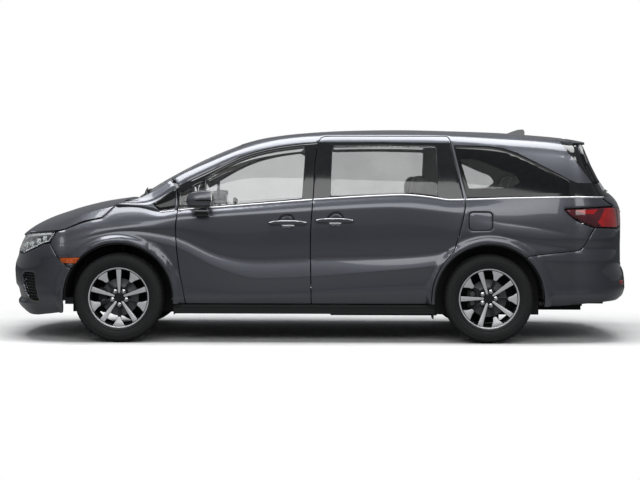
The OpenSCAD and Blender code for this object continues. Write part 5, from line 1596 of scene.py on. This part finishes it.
def pad(name, size, voxel, cap, seams, centre_half):
    """A stuffed pad: size in millimetres, seams along its length at distances from the middle."""
    ob = block(name, (-SHIFT, 0, 0), [s - cap for s in size], [seat_leather, seam_leather],
               min(size) * 0.3, 4)
    remesh = ob.modifiers.new("remesh", "REMESH")
    remesh.mode, remesh.voxel_size = "VOXEL", voxel * MM
    applied(ob, "remesh")
    start = [v.co.copy() for v in ob.data.vertices]
    cloth = ob.modifiers.new("cloth", "CLOTH")
    cloth.settings.use_pressure = True
    cloth.settings.uniform_pressure_force = 4
    cloth.settings.effector_weights.gravity = 0
    cloth.point_cache.frame_start, cloth.point_cache.frame_end = 1, 20
    for number in range(1, 21):
        bpy.context.scene.frame_set(number)
    applied(ob, "cloth")
    bpy.context.scene.frame_set(1)
    half = [s / 2 * MM for s in size]
    for v, was in zip(ob.data.vertices, start):
        swell = v.co - was
        if swell.length > cap * MM:
            v.co = was + swell * (cap * MM / swell.length)
        # the crown is highest in the middle, and the sides pull in between the corners
        x, y, z = (v.co[k] / half[k] for k in range(3))
        v.co.z += PAD_CROWN * math.copysign(1, z) * max(0, 1 - x * x) * max(0, 1 - y * y)
        v.co.y -= PAD_WAIST * math.copysign(1, y) * max(0, 1 - x * x) * (abs(y) > 0.7)
        for seam in seams:
            gap = (abs(v.co.y) - seam * MM) / SEAM_HALF
            if z > 0:
                v.co.z -= SEAM_DEEP * math.exp(-gap * gap)
    smoother = ob.modifiers.new("smooth", "SUBSURF")
    smoother.levels = smoother.render_levels = 1
    applied(ob, "smooth")
    bpy.ops.object.shade_smooth()
    recolour(ob, lambda c, n: n.z > 0.3 and abs(c.y) < centre_half, seam_leather)
    print(name, len(ob.data.polygons), "faces, movement up to",
          round(max((v.co - w).length for v, w in zip(ob.data.vertices, start)) * 1000), "mm")
    return ob


cushion = pad("cushion", (450, 500, 128), 15, 22, (150,), 146)
backrest = pad("backrest", (620, 500, 124), 15, 24, (145,), 141)
headrest = pad("headrest", (180, 260, 112), 12, 12, (), 300)
stem = rod("stem", [(0, 0, 0), (0, 0, 70), (0, 0, 140)], 7, [bare_steel])
shell_trim = plate("seat_shell", rounded([(-290, -232), (300, -232), (318, 0), (300, 232),
                                          (-290, 232)], 40, 60, 4), -10, 10, [soft_trim], 6)
SEATS = [(-190, -390), (-190, 390), (720, -440), (720, 440), (1560, -262), (1560, 262)]
lean = turn(-79, "Y")
seats, frames = [], []
for number, (x, y) in enumerate(SEATS, 1):
    at = lambda ahead, z: move(x + ahead + SHIFT, y, z)
    for kind, source, matrix in (("cushion", cushion, at(-282, 508) @ turn(-4, "Y")),
                                 ("back", backrest, at(66, 868) @ lean),
                                 ("rest", headrest, at(118, 1275) @ lean)):
        seats.append(copied(source, "seat_%s_%d" % (kind, number), matrix))
    for s in (-1, 1):
        frames.append(copied(stem, "stem", at(118, 1130) @ move(0, s * 60, 0)))
    frames.append(copied(shell_trim, "shell", at(140, 860) @ lean))
    frames.append(block("plinth", (x - 250, y, 408), (440, 400, 90), [soft_trim], 14))
    for s in (-1, 1):
        frames.append(block("leg", (x - 250, y + s * 150, 343), (420, 40, 44), [black_steel], 6))
for ob in (cushion, backrest, headrest, stem, shell_trim):
    bpy.data.objects.remove(ob)
for number, ob in enumerate(seats):
    dress(ob, "root", *(["front_seats", "rear_seats"] if number == 0 else []))
dress(joined("seat_frames", frames), "root")

# %% [markdown]
# Inside, each front door has a moulded card with an arm rest, a pull and a speaker. Shuts stand
# beside its opening in place of the pillars. The dashboard gets an instrument hood, a centre
# screen, air vents and a console.

# %% Doors inside and dashboard
card_line = [(-975, 1050), (-1010, 930), (-980, 480), (-930, 392), (-110, 392), (-70, 480),
             (-62, 1100), (-400, 1085)]
card = weave("door_card", flank, on_flank(rounded(card_line, 30, 60, 4)), (), 16, 34, 6, 74,
             finishes=[soft_trim, soft_trim])
shuts = [weave("shut", flank, on_flank(rounded(line, 12, 60, 3)), (), 24, 34, 4, 62,
               finishes=[paint, headliner], mirror=True) for line in (
    [(-52, 396), (64, 396), (70, 1140), (40, 1612), (-36, 1612), (-58, 1140)],
    [(-1150, 340), (-1022, 340), (-1022, 1040), (-1130, 1040)])]
dress(joined("door_shuts", shuts), "root")
wall = lambda x, z: -float(half_width(x, z)) + 92
rest_y, pull_y, cone_y = wall(-400, 800) + 22, wall(-620, 930) + 12, wall(-780, 520) + 4
rest = [block("arm_rest", (-420, rest_y, 800), (480, 62, 70), [seat_leather], 22, 4),
        block("pull", (-620, pull_y, 935), (130, 26, 34), [chrome], 8),
        block("pocket", (-420, wall(-420, 500) + 14, 450), (420, 44, 110), [soft_trim], 14)]
speaker = lathe("speaker", [(0, -4), (78, -4), (84, 0), (84, 6), (78, 9), (70, 6), (0, 10)],
                [grained_black], 48)
speaker.data.transform(move(-780, cone_y, 520) @ turn(-90, "X"))
card = joined("door_card_left", [card, speaker] + rest)
dress(copied(card, "door_card_right", mirror_y, True), "front_door_right")
dress(card, "front_door_left")
parts = [block("screen", (-806, 0, 1128), (16, 250, 140), [gloss_black], 6),
         block("hood", (-860, -390, 1112), (150, 330, 62), [soft_trim], 22, 4),
         block("dials", (-786, -390, 1100), (8, 250, 40), [gloss_black], 3),
         block("console", (-560, 0, 470), (560, 190, 290), [soft_trim], 26, 4),
         block("console_top", (-560, 0, 617), (500, 150, 10), [gloss_black], 4),
         block("lever", (-640, -30, 650), (34, 34, 70), [seat_leather], 12)]
for y in (-640, -180, 180, 640):
    parts.append(block("vent", (-790, y, 1030), (10, 130, 52), [gloss_black], 3))
    parts += [block("slat", (-784, y, z), (6, 118, 4), [chrome], 1) for z in (1014, 1030, 1046)]
parts.append(block("strip", (-788, 0, 985), (6, 1400, 8), [chrome], 2))
dress(joined("dashboard_details", parts), "root")

# %% [markdown]
# The remaining CAD pieces already have the right shape: floor, suspension, dashboard and so on.
# They keep their meshes and get the finish of the real thing.

# %% Finishes for the carried-over pieces
for name, item in {
        "floor_pan": carpet, "front_grille": gloss_black, "cowl_panel": grained_black,
        "dashboard": soft_trim, "steering_wheel": soft_trim, "engine_block": cast_iron,
        "wheel_liners": grained_black, "front_suspension": black_steel,
        "rear_suspension": black_steel, "knuckle_left": cast_iron, "knuckle_right": cast_iron,
        "exhaust": bare_steel, "fuel_tank": grained_black}.items():
    for slot in nodes[name].material_slots:
        slot.material = item

# %% [markdown]
# The picture is a plain side view from about eleven metres with a long lens. The camera stands
# at chest height and looks very slightly down. Its focal length follows from the picture: 1425
# pixels across a 640-pixel frame is about 80 mm on a 36 mm sensor. The horizon and the camera's
# own station are pixels of the same picture.

# %% Camera
FOCAL_PX, CAMERA_HEIGHT, CAMERA_AWAY = 1425.0, 1.262, 12.455
PICTURE_WIDE, PICTURE_HIGH, STATION_PX, HORIZON_PX, SENSOR = 640, 480, 318.2, 187.2, 36
camera_data = bpy.data.cameras.new("side_camera")
camera_data.sensor_width = SENSOR
camera_data.lens = FOCAL_PX / PICTURE_WIDE * SENSOR
camera = bpy.data.objects.new("side_camera", camera_data)
bpy.context.collection.objects.link(camera)
camera.location = (-0.007, -CAMERA_AWAY, CAMERA_HEIGHT)
tilt = math.atan((PICTURE_HIGH / 2 - HORIZON_PX) / FOCAL_PX)
yaw = math.atan((PICTURE_WIDE / 2 - STATION_PX) / FOCAL_PX)
camera.rotation_euler = (math.radians(90) - tilt, math.radians(-0.2), -yaw)
bpy.context.scene.camera = camera
print("lens", round(camera_data.lens, 1), "mm, tilt", round(math.degrees(tilt), 2), "degrees")

# %% [markdown]
# Soft studio light: one large box overhead, a weaker one on the near side and a pale sky. The
# floor is matt white and keeps the van's shadow. Away from the van it fades to the white of the
# backdrop, which only the camera sees, also through glass. To all other rays the floor is grey,
# so that it doesn't light the sills from below.

# %% Floor, sky and lamps
def seen_straight(owner):
    """One for the camera's rays and those through glass, zero for the others."""
    path = add(owner, "ShaderNodeLightPath")
    return add(owner, "ShaderNodeMath", links={0: path.outputs["Is Camera Ray"],
                                               1: path.outputs["Is Transmission Ray"]},
               operation="MAXIMUM").outputs[0]


for name, place, tip, size, power in (("overhead_box", (0, -0.6, 5.6), 0, (8, 3.6), 580),
                                      ("left_box", (0, -8.2, 5.0), 60, (10, 3.2), 245)):
    data = bpy.data.lights.new(name, "AREA")
    data.shape, data.size, data.size_y, data.energy = "RECTANGLE", size[0], size[1], power
    data.color = linear("#ffffff")[:3]
    ob = bpy.data.objects.new(name, data)
    ob.location, ob.rotation_euler = place, (math.radians(tip), 0, 0)
    bpy.context.collection.objects.link(ob)

bpy.ops.mesh.primitive_grid_add(x_subdivisions=8, y_subdivisions=8, size=80)
floor = bpy.context.object
floor.name = "studio_floor"
bpy.ops.object.mode_set(mode="EDIT")
bpy.ops.mesh.subdivide(number_cuts=1)
bpy.ops.object.mode_set(mode="OBJECT")
floor_finish, shader = finish("matt white studio paint", "#f4f4f4", Roughness=0.95)
speckle(floor_finish, shader, "#f6f6f6", "#f0f0f0", 400)
tree = floor_finish.node_tree
place = add(floor_finish, "ShaderNodeTexCoord").outputs["Object"]
flat = add(floor_finish, "ShaderNodeMapping", {"Scale": (0.2, 0.34, 0.0)}, {"Vector": place})
reach = add(floor_finish, "ShaderNodeVectorMath", links={0: flat.outputs[0]}, operation="LENGTH")
fade = add(floor_finish, "ShaderNodeMapRange", {"From Min": 0.62, "From Max": 1.0},
           {"Value": reach.outputs["Value"]}, interpolation_type="SMOOTHSTEP")
seen = seen_straight(floor_finish)
amount = add(floor_finish, "ShaderNodeMath", links={0: seen, 1: fade.outputs[0]},
             operation="MULTIPLY")
white = add(floor_finish, "ShaderNodeEmission", {"Color": (1, 1, 1, 1), "Strength": 1.0})
dim = add(floor_finish, "ShaderNodeBsdfDiffuse", {"Color": linear("#7c7c7c")})
paled = add(floor_finish, "ShaderNodeMixShader", links={0: seen, 1: dim.outputs[0],
                                                        2: shader.outputs[0]})
mix = add(floor_finish, "ShaderNodeMixShader", links={0: amount.outputs[0],
                                                      1: paled.outputs[0], 2: white.outputs[0]})
tree.links.new(mix.outputs[0], tree.nodes["Material Output"].inputs["Surface"])
floor.data.materials.append(floor_finish)

world = bpy.data.worlds.new("studio_sky")
bpy.context.scene.world = world
world.use_nodes = True
sky = world.node_tree.nodes["Background"]
sky.inputs["Color"].default_value = linear("#e4e7ec")
sky.inputs["Strength"].default_value = 0.22
backdrop = add(world, "ShaderNodeBackground", {"Color": (1, 1, 1, 1)})
blend = add(world, "ShaderNodeMixShader", links={0: seen_straight(world), 1: sky.outputs[0],
                                                 2: backdrop.outputs[0]})
world.node_tree.links.new(blend.outputs[0],
                          world.node_tree.nodes["World Output"].inputs["Surface"])
bpy.context.scene.view_settings.view_transform = "Standard"

# %% Update the scene
bpy.context.view_layer.update()
